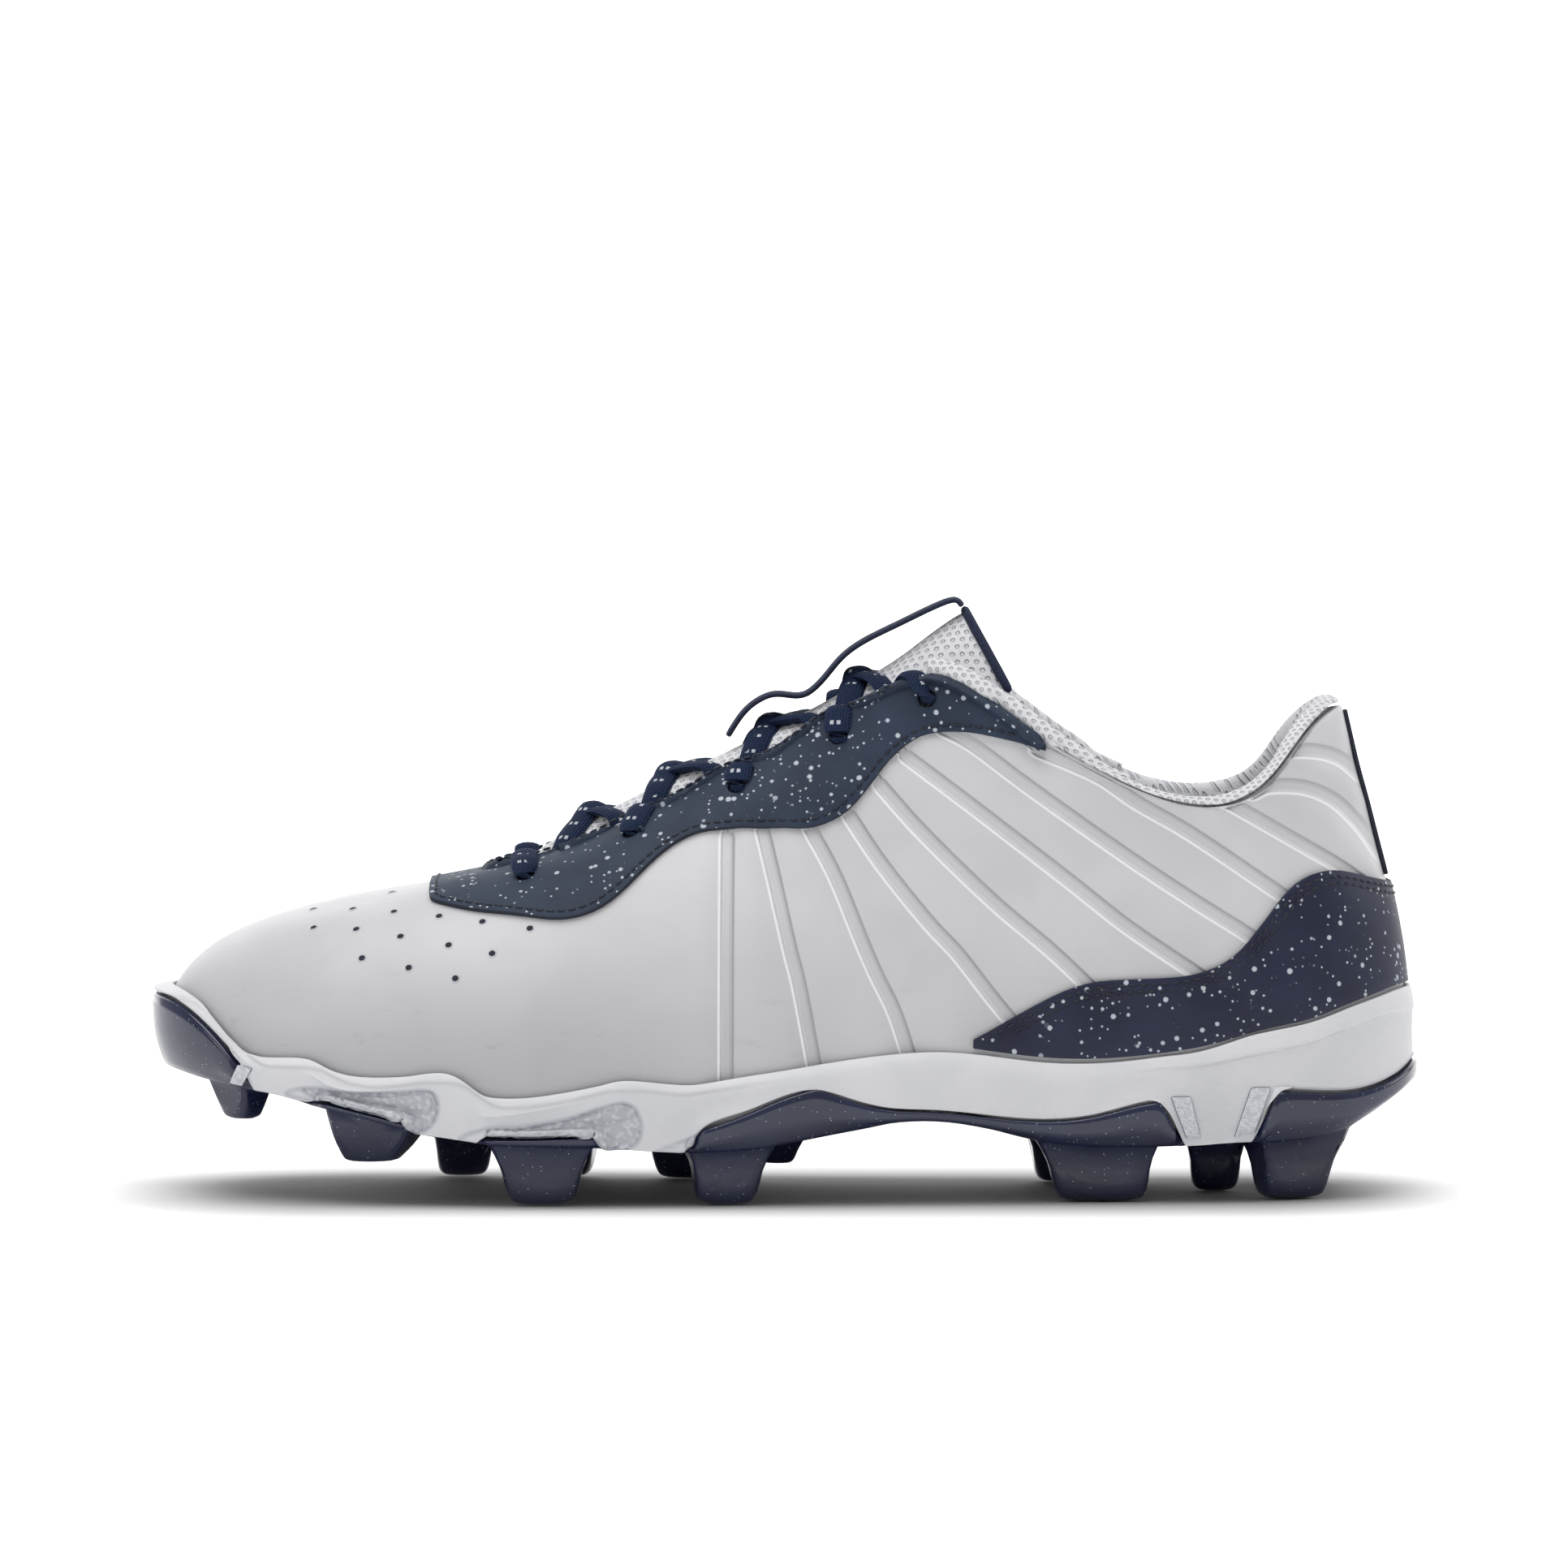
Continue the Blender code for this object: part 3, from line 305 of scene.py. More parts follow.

# %% [markdown]
# ## Finishes
#
# White leather: cool white, a very fine pore grain and a slow unevenness, satin gloss, scuff patches
# low down, and painted shade towards the bottom and under the toe. The upper's points carry their
# distance to its pressed grooves, and the finish turns that into a pressed groove, with painted shade
# inside it and along one long side and a painted highlight along the other. Where a piece carries no
# distances, "outside" reads 0 and it stays plain.

# %%
def white_leather():
    f = Finish("white leather")
    slow = f.noise(26.0, 2.0)
    pores = f.cells(0.62, spread=0.9)
    fine = f.noise(0.32, 2.0)
    scuffs = f.noise(6.0, 4.0, 0.65, f.vector(f.x * 0.35, f.y, f.z * 1.4)).step(0.60, 0.74)
    low = f.z.step(62.0, 30.0)
    colour = f.mix(slow.step(0.35, 0.7), paint(204, 204, 207), paint(197, 197, 200))
    # painted shade: darker towards the bottom and under the toe, where the leather turns down away from the
    # light; the scuff patches low down are wear
    painted_shade_under_toe = f.z.step(64.0, 28.0) * f.x.step(10.0, -70.0)
    wear_and_painted_shade = scuffs * low * 0.25 + f.z.step(80.0, 22.0) * 0.16 + painted_shade_under_toe * 0.4
    colour = f.mix(wear_and_painted_shade, colour, paint(150, 151, 155))

    def band(name):
        # halfway between two grooves the signed distance jumps across 0; its size shows that none is there
        return f.read(name).size().step(1.75, 0.95) * f.read(name + "_size").step(3.4, 2.6)

    def edge(name, low, high):
        # one long side of a groove, between these two distances from its middle
        sharp = f.read(name).step(low - 0.35, low) * f.read(name).step(high + 0.35, high)
        return sharp * f.read(name + "_size").step(3.4, 2.6)

    outside = f.read("outside")
    pressed = band("odd").most(band("even")) * outside
    shaded = edge("odd", 0.7, 1.5).most(edge("even", 0.7, 1.5)) * outside
    lit = edge("odd", -2.0, -1.2).most(edge("even", -2.0, -1.2)) * outside
    # painted shade inside each groove and along its upper long side, and a painted highlight along its lower
    # long side
    colour = f.mix(pressed * 0.08 + shaded * 0.26, colour, paint(140, 142, 150))
    colour = f.mix(lit * 0.85, colour, paint(240, 240, 242))
    grain = f.relief(pores * 0.7 + fine * 0.5, 0.045)
    soft = f.relief(1.0 - pressed, 0.6, f.relief(f.noise(7.0, 2.0), 0.16, grain))
    f.set(base_color=colour, roughness=slow * 0.12 + scuffs * 0.12 + 0.36, normal=soft,
          specular_ior_level=0.45)
    return f.material

# %% [markdown]
# Speckled navy leather, for the eyestay and the heel counter: matt dark blue-grey strewn with pale
# specks of four sizes. Each speck is the middle of a cell. A cell keeps its speck by chance, and the
# small ones show only where a slower noise lets them through, so that they come in clusters.

# %%
def speckled(name, base, darker, rough):
    f = Finish(name)
    warp = f.noise(1.1, 2.0)

    def specks(size, radius, keep, seed):
        place = f.vector(f.x + seed + warp * 0.35, f.y + seed * 0.7, f.z - seed)
        near = f.cells(size, place=place)
        chance = f.node("ShaderNodeSeparateColor", {}, {0: f.cells(size, place=place, output="Color")}, 0)
        return near.step(radius, radius * 0.62) * chance.step(keep, keep - 0.04)

    crowded = f.noise(8.0, 2.0).step(0.42, 0.47)
    small = specks(1.5, 0.24, 0.46, 7.0).most(specks(2.3, 0.22, 0.42, 31.0)) * crowded
    pale = specks(2.9, 0.25, 0.40, 0.0).most(small).most(specks(5.2, 0.16, 0.30, 19.0))
    ground = f.mix(f.noise(14.0, 3.0).step(0.35, 0.68), base, darker)
    colour = f.mix(pale * 0.86, ground, paint(196, 203, 212))
    grain = f.relief(f.cells(0.5) * 0.6 + f.noise(0.3) * 0.6, 0.05)
    f.set(base_color=colour, roughness=pale * 0.1 + rough, normal=grain,
          specular_ior_level=0.35)
    return f.material


def mottled(name, lumps, one, two, rough, grain, depth, detail=3.0):
    """Two close colours in lumps of one size, over a grain of another."""
    f = Finish(name)
    f.set(base_color=f.mix(f.noise(lumps, detail), one, two), roughness=rough,
          normal=f.relief(f.noise(grain, detail), depth))
    return f.material

# %% [markdown]
# Moulded parts: the outsole is glossy navy with very fine white flecks, the foam a satin white whose
# hollowed side panels are pebbled. Each point of the foam carries its depth inside a panel in
# millimetres, and the finish turns that into a crisp pressed edge. It also paints shade into the
# panels, between their pebbles and along their edges, and under the foam's lip.

# %%
def navy_moulding():
    f = Finish("glossy navy moulding")
    near = f.cells(1.05)
    chance = f.node("ShaderNodeSeparateColor", {}, {0: f.cells(1.05, output="Color")}, 0)
    flecks = near.step(0.17, 0.08) * chance.step(0.42, 0.36)
    dust = f.noise(5.0, 4.0, 0.6).step(0.55, 0.75)
    ground = f.mix(f.noise(18.0).step(0.3, 0.7), paint(27, 34, 66), paint(20, 26, 53))
    colour = f.mix(flecks * 0.75, ground, paint(186, 192, 208))
    fine = f.relief(f.noise(1.6, 3.0), 0.035)
    f.set(base_color=colour, roughness=dust * 0.14 + 0.20, normal=fine, coat_weight=0.35, coat_roughness=0.12)
    return f.material


def white_foam():
    f = Finish("white foam")
    pebbles = f.cells(1.25, "SMOOTH_F1", 0.9)
    depth = f.read("depth")
    panel = depth.step(-0.25, 0.55)
    brink = depth.size().step(0.9, 0.1)
    stepped = f.read("under").step(-0.5, 0.5) * f.read("fade")
    slow = f.noise(20.0, 3.0)
    wrinkle_place = f.vector(f.x * 0.55, f.y * 0.4, f.z * 2.2)
    wrinkles = f.noise(2.4, 3.0, 0.55, wrinkle_place) * f.x.step(55.0, 95.0)
    colour = f.mix(slow.step(0.35, 0.7), paint(218, 218, 221), paint(210, 211, 214))
    # painted shade under the lip, where the foam steps in
    colour = f.mix(stepped * 0.14, colour, paint(168, 171, 180))
    # painted shade in the pressed panels: over the whole panel, between the pebbles and in a dark line along
    # its edge
    painted_panel_shade = panel * (pebbles.step(0.2, 0.5) * 0.34 + 0.12) + brink * 0.38
    colour = f.mix(painted_panel_shade, colour, paint(132, 137, 150))
    grime = f.noise(4.0, 5.0, 0.7).step(0.52, 0.75) * f.z.step(30.0, 14.0) * 0.22
    colour = f.mix(grime, colour, paint(176, 172, 165))
    pressed = f.relief(1.0 - panel, 0.9, f.relief(1.0 - stepped, 0.4))
    pebbled = f.relief(panel * (1.0 - pebbles), 0.6, pressed)
    satin = f.relief(f.noise(0.5, 2.0) * 0.3 + wrinkles, 0.22, pebbled)
    f.set(base_color=colour, roughness=slow * 0.1 + 0.42, normal=satin,
          specular_ior_level=0.4)
    return f.material

# %% [markdown]
# Knit and tapes: the tongue's knit is a honeycomb of small dents, the collar's a finer one, and the
# tapes are woven. The laces read the map laid along them, so that the weave and the pairs of white
# flecks follow the lace.

# %%
def knit(name, size, depth, light, dark):
    """A honeycomb of dents, in a place along the tongue's slope and one across it, the same on both sides."""
    f = Finish(name)
    turn = 2 * math.pi / (0.866 * size)
    along = f.x * 0.83 + f.z * 0.55
    across = (f.y - TONGUE_MIDDLE).size() * 0.75 + (f.x * 0.55 - f.z * 0.83) * 0.65
    sway = f.noise(9.0, 1.0) * 1.4
    along, across = along + sway, across + sway
    comb = ((along * turn).maths("COSINE") + ((along * 0.5 + across * 0.866) * turn).maths("COSINE")
            + ((along * 0.5 - across * 0.866) * turn).maths("COSINE")) / 3.0
    dents = comb.step(0.15, 0.75)
    yarn = f.noise(0.3, 3.0)
    # painted shade: the white knit is painted darker in its dents
    colour = f.mix(dents * 0.75, light, dark)
    colour = f.mix(f.noise(24.0).step(0.3, 0.75) * 0.15, colour, dark)
    f.set(base_color=colour, roughness=0.96, normal=f.relief((1.0 - dents) + yarn * 0.35, depth),
          specular_ior_level=0.2)
    return f.material


def tape(name, base, pale):
    f = Finish(name)
    over = (f.x * 7.5 + f.y * 3.0).wave() * (f.z * 7.5 - f.y * 6.0).wave()
    colour = f.mix(over * 0.5 + 0.5, base, pale)
    f.set(base_color=colour, roughness=0.9, normal=f.relief(over * 0.5 + 0.5, 0.14))
    return f.material


def lace_weave():
    f = Finish("navy lace")
    place = f.node("ShaderNodeUVMap", {"uv_map": "run"})
    along = f.node("ShaderNodeSeparateXYZ", {}, {0: place}, 0)
    across = f.node("ShaderNodeSeparateXYZ", {}, {0: place}, 1)
    tilt = across.size() * 0.9
    ribs = ((along - tilt) * 7.6).wave()
    cross = (across * 9.5).wave()
    weave = ribs * 0.35 + cross * 0.35 + 0.5
    beat = (along * 1.32).wave().step(0.76, 0.90)
    pair = ((across - 0.4).size() - 0.80).size().step(0.52, 0.36)
    flecks = beat * pair * f.noise(3.0, 1.0).step(0.40, 0.46)
    colour = f.mix(weave, paint(14, 25, 48), paint(32, 50, 86))
    colour = f.mix(flecks * 0.9, colour, paint(214, 218, 226))
    f.set(base_color=colour, roughness=0.8, normal=f.relief(weave, 0.26),
          specular_ior_level=0.25)
    return f.material


LEATHER = white_leather()
SPECKLED = speckled("navy speckled leather", paint(40, 53, 73), paint(33, 44, 63), 0.62)
COUNTER = speckled("navy speckled counter", paint(32, 37, 62), paint(27, 31, 54), 0.5)
EDGE = mottled("dark cut edge", 1.2, paint(24, 28, 40), paint(40, 45, 60), 0.85, 0.4, 0.08)
MOULDING = navy_moulding()
FOAM = white_foam()
TONGUE_KNIT = knit("white tongue knit", 2.3, 0.6, paint(226, 226, 229), paint(198, 200, 206))
COLLAR_KNIT = knit("white collar knit", 1.7, 0.5, paint(226, 226, 229), paint(194, 196, 202))
WEBBING = tape("navy tape", paint(16, 22, 44), paint(34, 44, 74))
LACE = lace_weave()
THREAD = mottled("navy thread", 0.25, paint(11, 17, 38), paint(8, 14, 32), 0.5, 0.2, 0.06, 2.0)
CLOTH = mottled("insole cloth", 5.0, paint(196, 198, 203), paint(176, 179, 186), 0.97, 0.5, 0.2)
print(len(bpy.data.materials), "finishes")

# %% [markdown]
# ## The white upper, with its pressed grooves
#
# Eleven grooves about 2.5 mm wide fan out from under the eyestay, upright at the waist and leaning back
# more and more towards the heel, where they bend round to the back seam. They are drawn in the side
# view, in millimetres along and up, the same on both sides. The surface swells softly between them:
# that is moved in the mesh. Their crisp edges are too fine for it, so each point also keeps its
# distance to the nearest odd and nearest even groove, and the finish presses the edge in from those.

# %%
GROOVES = [
    [(-13, 84), (-13, 62), (-13, 24)],
    [(-5, 86), (-2, 74), (1.5, 59), (4, 49), (8.5, 25)],
    [(6, 86), (12, 75), (18, 60.5), (21.5, 52.5), (26, 43), (31, 27)],
    [(15, 89), (22.5, 78), (33, 65), (40, 57.5), (47, 48.5), (53, 41)],
    [(22, 96), (32, 85), (48, 69.5), (61, 58.5), (70, 50), (75, 45)],
    [(28, 102.5), (43.5, 91), (65, 74.5), (79, 63.5), (94.5, 53), (100, 49)],
    [(36, 109), (43.5, 105), (57, 95), (79, 79.5), (95, 69), (107, 61.5), (113, 57)],
    [(58, 104), (72, 98), (81, 92), (94, 84.5), (113.5, 71.5), (120, 67)],
    [(99, 94), (103, 91.5), (111, 87), (127.5, 77.5), (134, 73)],
    [(108, 94), (112, 95.5), (120.5, 95), (127.5, 92), (133, 87), (137, 82), (142, 75)],
    [(113, 102), (116.5, 103.5), (124.5, 103), (130.5, 100.5), (137, 94.5), (143, 87)],
]


def signed_distance(spots, lines):
    """For each spot in the side view, the distance to the nearest line, below 0 on one side of it."""
    best = np.full(len(spots), 99.0)
    for line in lines:
        points = np.array([tuple(point) for point in smooth_line([(x, z, 0) for x, z in line], 1.5)])[:, :2]
        for start, end in zip(points, points[1:]):
            length = np.linalg.norm(end - start)
            unit = (end - start) / length
            offset = spots - start
            away = offset - np.clip(offset @ unit, 0.0, length)[:, None] * unit
            distance = np.linalg.norm(away, axis=1)
            side = np.where(unit[0] * offset[:, 1] - unit[1] * offset[:, 0] < 0.0, -1.0, 1.0)
            nearer = distance < np.abs(best)
            best[nearer] = (distance * side)[nearer]
    return best


def each_point(obj, what):
    """The co or the normal of every point of a piece, one row for each."""
    flat = np.empty(len(obj.data.vertices) * 3)
    obj.data.vertices.foreach_get(what, flat)
    return flat.reshape(-1, 3)


def coordinates(obj):
    return each_point(obj, "co") / MM


def keep(obj, name, values):
    """Store one number for each point of a piece, for its finish to read."""
    layer = obj.data.attributes.new(name, "FLOAT", "POINT")
    layer.data.foreach_set("value", np.asarray(values, dtype=np.float32))


def push(obj, weights, depth):
    """Move a surface along its normals by depth millimetres where the weight is 1."""
    group = obj.vertex_groups.new(name="push")
    for index in np.nonzero(weights > 0.004)[0]:
        group.add([int(index)], float(weights[index]), "REPLACE")
    apply(obj, "DISPLACE", strength=depth * MM, mid_level=0.0, vertex_group="push")
    obj.vertex_groups.clear()


upper = copy_of("upper", "upper_shell")
finer(upper, 3, 60, 0.8)
places = coordinates(upper)
outward = each_point(upper, "normal")[:, 1] * np.sign(places[:, 1] - MIDDLE)
faces_out = np.clip(outward * 3.0, 0.0, 1.0)
side_view = places[:, [0, 2]]
odd = signed_distance(side_view, GROOVES[0::2])
even_ones = signed_distance(side_view, GROOVES[1::2])
nearest = np.minimum(np.abs(odd), np.abs(even_ones))
push(upper, np.exp(-(nearest / 3.6) ** 2) * faces_out, -0.95)
for name, distance in (("odd", odd), ("even", even_ones)):
    keep(upper, name, distance)
    keep(upper, name + "_size", np.abs(distance))
keep(upper, "outside", faces_out)
upper_tree = tree_of(upper)
settle(upper, LEATHER, "white_leather", "upper")

# %% [markdown]
# ## The overlays: eyestay, heel counter and heel tape
#
# Each is cut from a sheet about 1.1 mm thick. Only the outer faces of the plain piece are kept, made
# finer, laid onto the upper's real surface, and then thickened, so the cut edge all round is real and
# takes its own dark finish. The sheet's border before it is thickened gives the stitch lines and the
# eyelets.

# %%
def seat(obj, tree, lift):
    """Lay a sheet along its normals onto a surface, lift millimetres above it."""
    mesh = obj.data
    moves = {}
    for vertex in mesh.vertices:
        hit = tree.ray_cast(vertex.co + vertex.normal * 3 * MM, -vertex.normal, 9 * MM)
        if hit[0] is not None and hit[1].dot(vertex.normal) > 0.6 and hit[3] < 6.5 * MM:
            moves[vertex.index] = (hit[0] + vertex.normal * lift * MM - vertex.co).dot(vertex.normal)
    known = KDTree(len(moves))
    for index in moves:
        known.insert(mesh.vertices[index].co, index)
    known.balance()
    new = []
    for vertex in mesh.vertices:
        near = known.find_n(vertex.co, 7)
        new.append(vertex.co + vertex.normal * sum(moves[index] for _, index, _ in near) / len(near))
    for vertex, place in zip(mesh.vertices, new):
        vertex.co = place
    mesh.update()


def border_loops(obj):
    """The borders of a sheet, each a ring of (place, normal, direction into the sheet)."""
    work = bmesh.new()
    work.from_mesh(obj.data)
    work.normal_update()
    left = {edge for edge in work.edges if edge.is_boundary}
    loops = []
    while left:
        first = left.pop()
        ring, here = [first.verts[0]], first.verts[1]
        while here is not ring[0]:
            ring.append(here)
            following = [edge for edge in here.link_edges if edge in left]
            if not following:
                break
            left.discard(following[0])
            here = following[0].other_vert(here)
        loop = []
        for index, vertex in enumerate(ring):
            run = (ring[(index + 1) % len(ring)].co - ring[index - 1].co).normalized()
            into = vertex.normal.cross(run).normalized()
            centres = [face.calc_center_median() for face in vertex.link_faces]
            middle = sum(centres, Vector()) / len(centres)
            if into.dot(middle - vertex.co) < 0:
                into = -into
            loop.append((vertex.co.copy(), vertex.normal.copy(), into))
        loops.append(loop)
    work.free()
    return loops


def loop_length(loop):
    return sum((one[0] - two[0]).length for one, two in zip(loop, loop[1:] + loop[:1])) / MM


def thicken(sheet, edge, thick, bevel, segments):
    """Give a sheet its thickness, a cut edge with a finish of its own, and a small bevel."""
    sheet.data.materials.append(edge)
    apply(sheet, "SOLIDIFY", thickness=thick * MM, offset=-1.0, material_offset_rim=1)
    apply(sheet, "BEVEL", width=bevel * MM, segments=segments, limit_method="ANGLE",
          angle_limit=math.radians(50))
    only(sheet)
    bpy.ops.object.shade_smooth_by_angle(angle=math.radians(40))


def overlay(node, name, material, slot, lift=1.2, thick=1.1, levels=2):
    """The finished overlay, and the loops of its border."""
    sheet = copy_of(node, name)

    def is_cover(face):
        near = upper_tree.find_nearest(face.calc_center_median())
        return near[1].dot(face.normal) > 0.9 and near[3] > 1.5 * MM

    choose(sheet, "FACE", is_cover)
    bpy.ops.mesh.faces_select_linked_flat(sharpness=math.radians(40))
    bpy.ops.mesh.select_all(action="INVERT")
    bpy.ops.mesh.delete(type="FACE")
    bpy.ops.object.mode_set(mode="OBJECT")
    apply(sheet, "SUBSURF", levels=levels, render_levels=levels, boundary_smooth="PRESERVE_CORNERS")
    seat(sheet, upper_tree, lift)
    loops = border_loops(sheet)
    settle(sheet, material, slot, node)
    thicken(sheet, EDGE, thick, 0.22, 2)
    print(name, "borders:", [round(loop_length(loop)) for loop in loops], "mm")
    return sheet, loops


eyestay, eyestay_loops = overlay("eyestay", "eyestay_leather", SPECKLED, "navy_leather")
_, counter_loops = overlay("heel_counter", "heel_counter_leather", COUNTER, "navy_leather")
overlay("heel_tape", "heel_tape_woven", WEBBING, "navy_webbing", 1.0, 0.9, 1)

# %% [markdown]
# ## Stitches
#
# One stitch is a small bead of thread about 2 mm long, pressed a little into the leather. It is
# modelled once and copied along each line, a set distance in from the border: single round the eyestay,
# double along the counter's top.

# %%
EYESTAY_INSET, EYESTAY_PITCH = 1.6, 2.55
COUNTER_INSETS, COUNTER_PITCH = (1.4, 3.0), 2.5


def stitch_bead():
    bpy.ops.mesh.primitive_uv_sphere_add(segments=8, ring_count=6, radius=1.0)
    bead = bpy.context.object
    only(bead)
    bpy.ops.transform.rotate(value=math.pi / 2, orient_axis="Y", center_override=(0, 0, 0))
    bpy.ops.transform.resize(value=(1.0 * MM, 0.36 * MM, 0.36 * MM), center_override=(0, 0, 0))
    bpy.ops.object.transform_apply(location=False, rotation=True, scale=True)
    return bead


def scatter(name, model, frames):
    """Copies of a modelled piece's mesh at each frame, joined as one piece."""
    points = np.array([tuple(vertex.co) for vertex in model.data.vertices])
    faces = [tuple(face.vertices) for face in model.data.polygons]
    every, joined = [], []
    for frame_ in frames:
        matrix = np.array(frame_)
        joined += [tuple(index + len(every) * len(points) for index in face) for face in faces]
        every.append(points @ matrix[:3, :3].T + matrix[:3, 3])
    mesh = bpy.data.meshes.new(name)
    mesh.from_pydata(np.vstack(every).tolist(), [], joined)
    mesh.shade_smooth()
    return placed(name, mesh)


def frame_on(place, run, up):
    """A frame at a place, its first axis along run and its third along up."""
    up = (up - run * up.dot(run)).normalized()
    return Matrix.Translation(place) @ Matrix((run, up.cross(run), up)).transposed().to_4x4()


def stitch_line(loop, inset, pitch, keeping):
    """Frames for stitches in from a border, where a test holds."""
    ring = [place + into * inset * MM + normal * 0.02 * MM for place, normal, into in loop]
    normals = [normal for _, normal, _ in loop]
    for _ in range(3):
        before, following = ring[-1:] + ring[:-1], ring[1:] + ring[:1]
        ring = [(last + here * 2 + after) / 4 for last, here, after in zip(before, ring, following)]
    lengths, joined = [0.0], ring + ring[:1]
    for one, two in zip(joined, joined[1:]):
        lengths.append(lengths[-1] + (two - one).length)
    frames, here = [], 0
    for place in np.arange(0.0, lengths[-1], pitch * MM):
        while here < len(ring) - 1 and lengths[here + 1] < place:
            here += 1
        run = joined[here + 1] - joined[here]
        if run.length < 1e-7:
            continue
        share = (place - lengths[here]) / (lengths[here + 1] - lengths[here])
        spot = joined[here] + run * share
        if keeping(spot):
            frames.append(frame_on(spot, run.normalized(), normals[here]))
    return frames


def before_rear_tip(place):
    return place.x < 54 * MM


def on_top_edge(place):
    along, up = place.x / MM, place.z / MM
    return up > np.interp(along, [45, 70, 90, 115, 130, 146], [38.5, 39.5, 42, 47, 51, 56])


bead = stitch_bead()
frames = []
for loop in eyestay_loops:
    if loop_length(loop) > 40:
        frames += stitch_line(loop, EYESTAY_INSET, EYESTAY_PITCH, before_rear_tip)
settle(scatter("eyestay_stitches", bead, frames), THREAD, "navy_lace")
frames = []
for inset in COUNTER_INSETS:
    frames += stitch_line(max(counter_loops, key=loop_length), inset, COUNTER_PITCH, on_top_edge)
settle(scatter("counter_stitches", bead, frames), THREAD, "navy_lace")
bpy.data.objects.remove(bead, do_unlink=True)

# %% [markdown]
# ## Sole, lining and tongue
#
# The foam and the outsole are subdivided with their sharp edges creased, so that the wavy lip and the
# wings stay crisp while the sides run smooth. The studs' sides are drawn in a little halfway up. The
# foam steps in under its lip, and points inside the outlines of its side panels, in millimetres in the
# side view, are pressed in by hand; the finish shades the step and pebbles the panels.

# %%
PANELS = [
    [(-114.5, 24.8), (-111.5, 26.2), (-107.0, 26.4), (-100.2, 25.4), (-90.2, 25.9), (-83.5, 26.6),
     (-80.4, 26.2), (-79.2, 23.5), (-80.0, 19.6), (-83.4, 16.8), (-90.0, 17.5), (-97.0, 20.4),
     (-107.0, 23.3)],
    [(-74.4, 15.4), (-68.0, 18.1), (-60.1, 18.6), (-49.3, 20.4), (-41.5, 22.9), (-36.5, 24.0),
     (-33.6, 22.2), (-32.5, 17.5), (-35.0, 13.6), (-44.0, 12.4), (-60.0, 13.0), (-68.0, 13.8)],
    [(-29.7, 12.2), (-22.2, 15.4), (-14.3, 18.4), (-13.6, 16.5), (-17.2, 13.6), (-22.0, 12.4)],
]


def depth_inside(spots, outlines):
    """How deep each spot of the side view lies inside the nearest outline, below 0 outside them all."""
    best = np.full(len(spots), -99.0)
    for corners in outlines:
        ring = [(*corner, 0) for corner in corners]
        points = np.array([tuple(point) for point in smooth_line(ring[-1:] + ring + ring[:2], 0.8)])[:, :2]
        distance = np.full(len(spots), 99.0)
        within = np.zeros(len(spots), dtype=bool)
        for start, end in zip(points, np.roll(points, -1, axis=0)):
            run, offset = end - start, spots - start
            share = np.clip(offset @ run / (run @ run), 0.0, 1.0)
            distance = np.minimum(distance, np.linalg.norm(offset - share[:, None] * run, axis=1))
            crosses = (start[1] > spots[:, 1]) != (end[1] > spots[:, 1])
            rise = run[1] if run[1] else 1e-9
            within ^= crosses & (spots[:, 0] < start[0] + (spots[:, 1] - start[1]) * run[0] / rise)
        best = np.maximum(best, np.where(within, distance, -distance))
    return best


def below_rim(obj):
    """How far each point of the foam lies below its top rim, on its own side of the shoe."""
    spots = coordinates(obj)
    drop = np.zeros(len(spots))
    stations = np.arange(-146.0, 150.0, 2.0)
    for side in (-1, 1):
        mine = (spots[:, 1] - MIDDLE) * side > 0
        along, up = spots[mine, 0], spots[mine, 2]
        rims = [up[np.abs(along - station) < 2.5].max(initial=0.0) for station in stations]
        drop[mine] = np.interp(along, stations, rims) - up
    return drop


midsole = copy_of("midsole", "midsole_foam")
finer(midsole, 3, 50, 0.75)
spots = coordinates(midsole)
depths = depth_inside(spots[:, [0, 2]], PANELS)
lip = np.interp(spots[:, 0], [-130, -20, 60, 88, 105, 150], [2.0, 2.2, 2.2, 3.0, 5.2, 5.5])
fade = np.interp(spots[:, 0], [-20, 5, 78, 100], [1.0, 0.0, 0.0, 1.0])
under = below_rim(midsole) - lip
keep(midsole, "depth", depths)
keep(midsole, "under", under)
keep(midsole, "fade", fade)
push(midsole, np.clip(under / 1.2 + 0.5, 0.0, 1.0) * fade, -0.55)
push(midsole, np.clip(depths / 1.2, 0.0, 1.0), -0.7)
settle(midsole, FOAM, "white_foam", "midsole")

outsole = copy_of("outsole", "outsole_moulded")
finer(outsole, 2, 32, 0.85)
spots = coordinates(outsole)
push(outsole, np.exp(-((spots[:, 2] - 8.5) / 4.0) ** 2), -0.8)
settle(outsole, MOULDING, "navy_moulding", "outsole")

insole = copy_of("insole", "insole_cloth_bed")
finer(insole, 1, 50, 0.6)
settle(insole, CLOTH, "insole_cloth", "insole")

# %% [markdown]
# ## The padded tongue and collar
#
# Both are knit over soft foam. Each starts a little smaller than its plain piece and is then swelled by
# air pressure as cloth, with a limit on how far a point may go, so that it rounds between its edges and
# stays in its own space. Its thin edges would be lost in a remesh of even faces, so the subdivided
# faces are simulated.

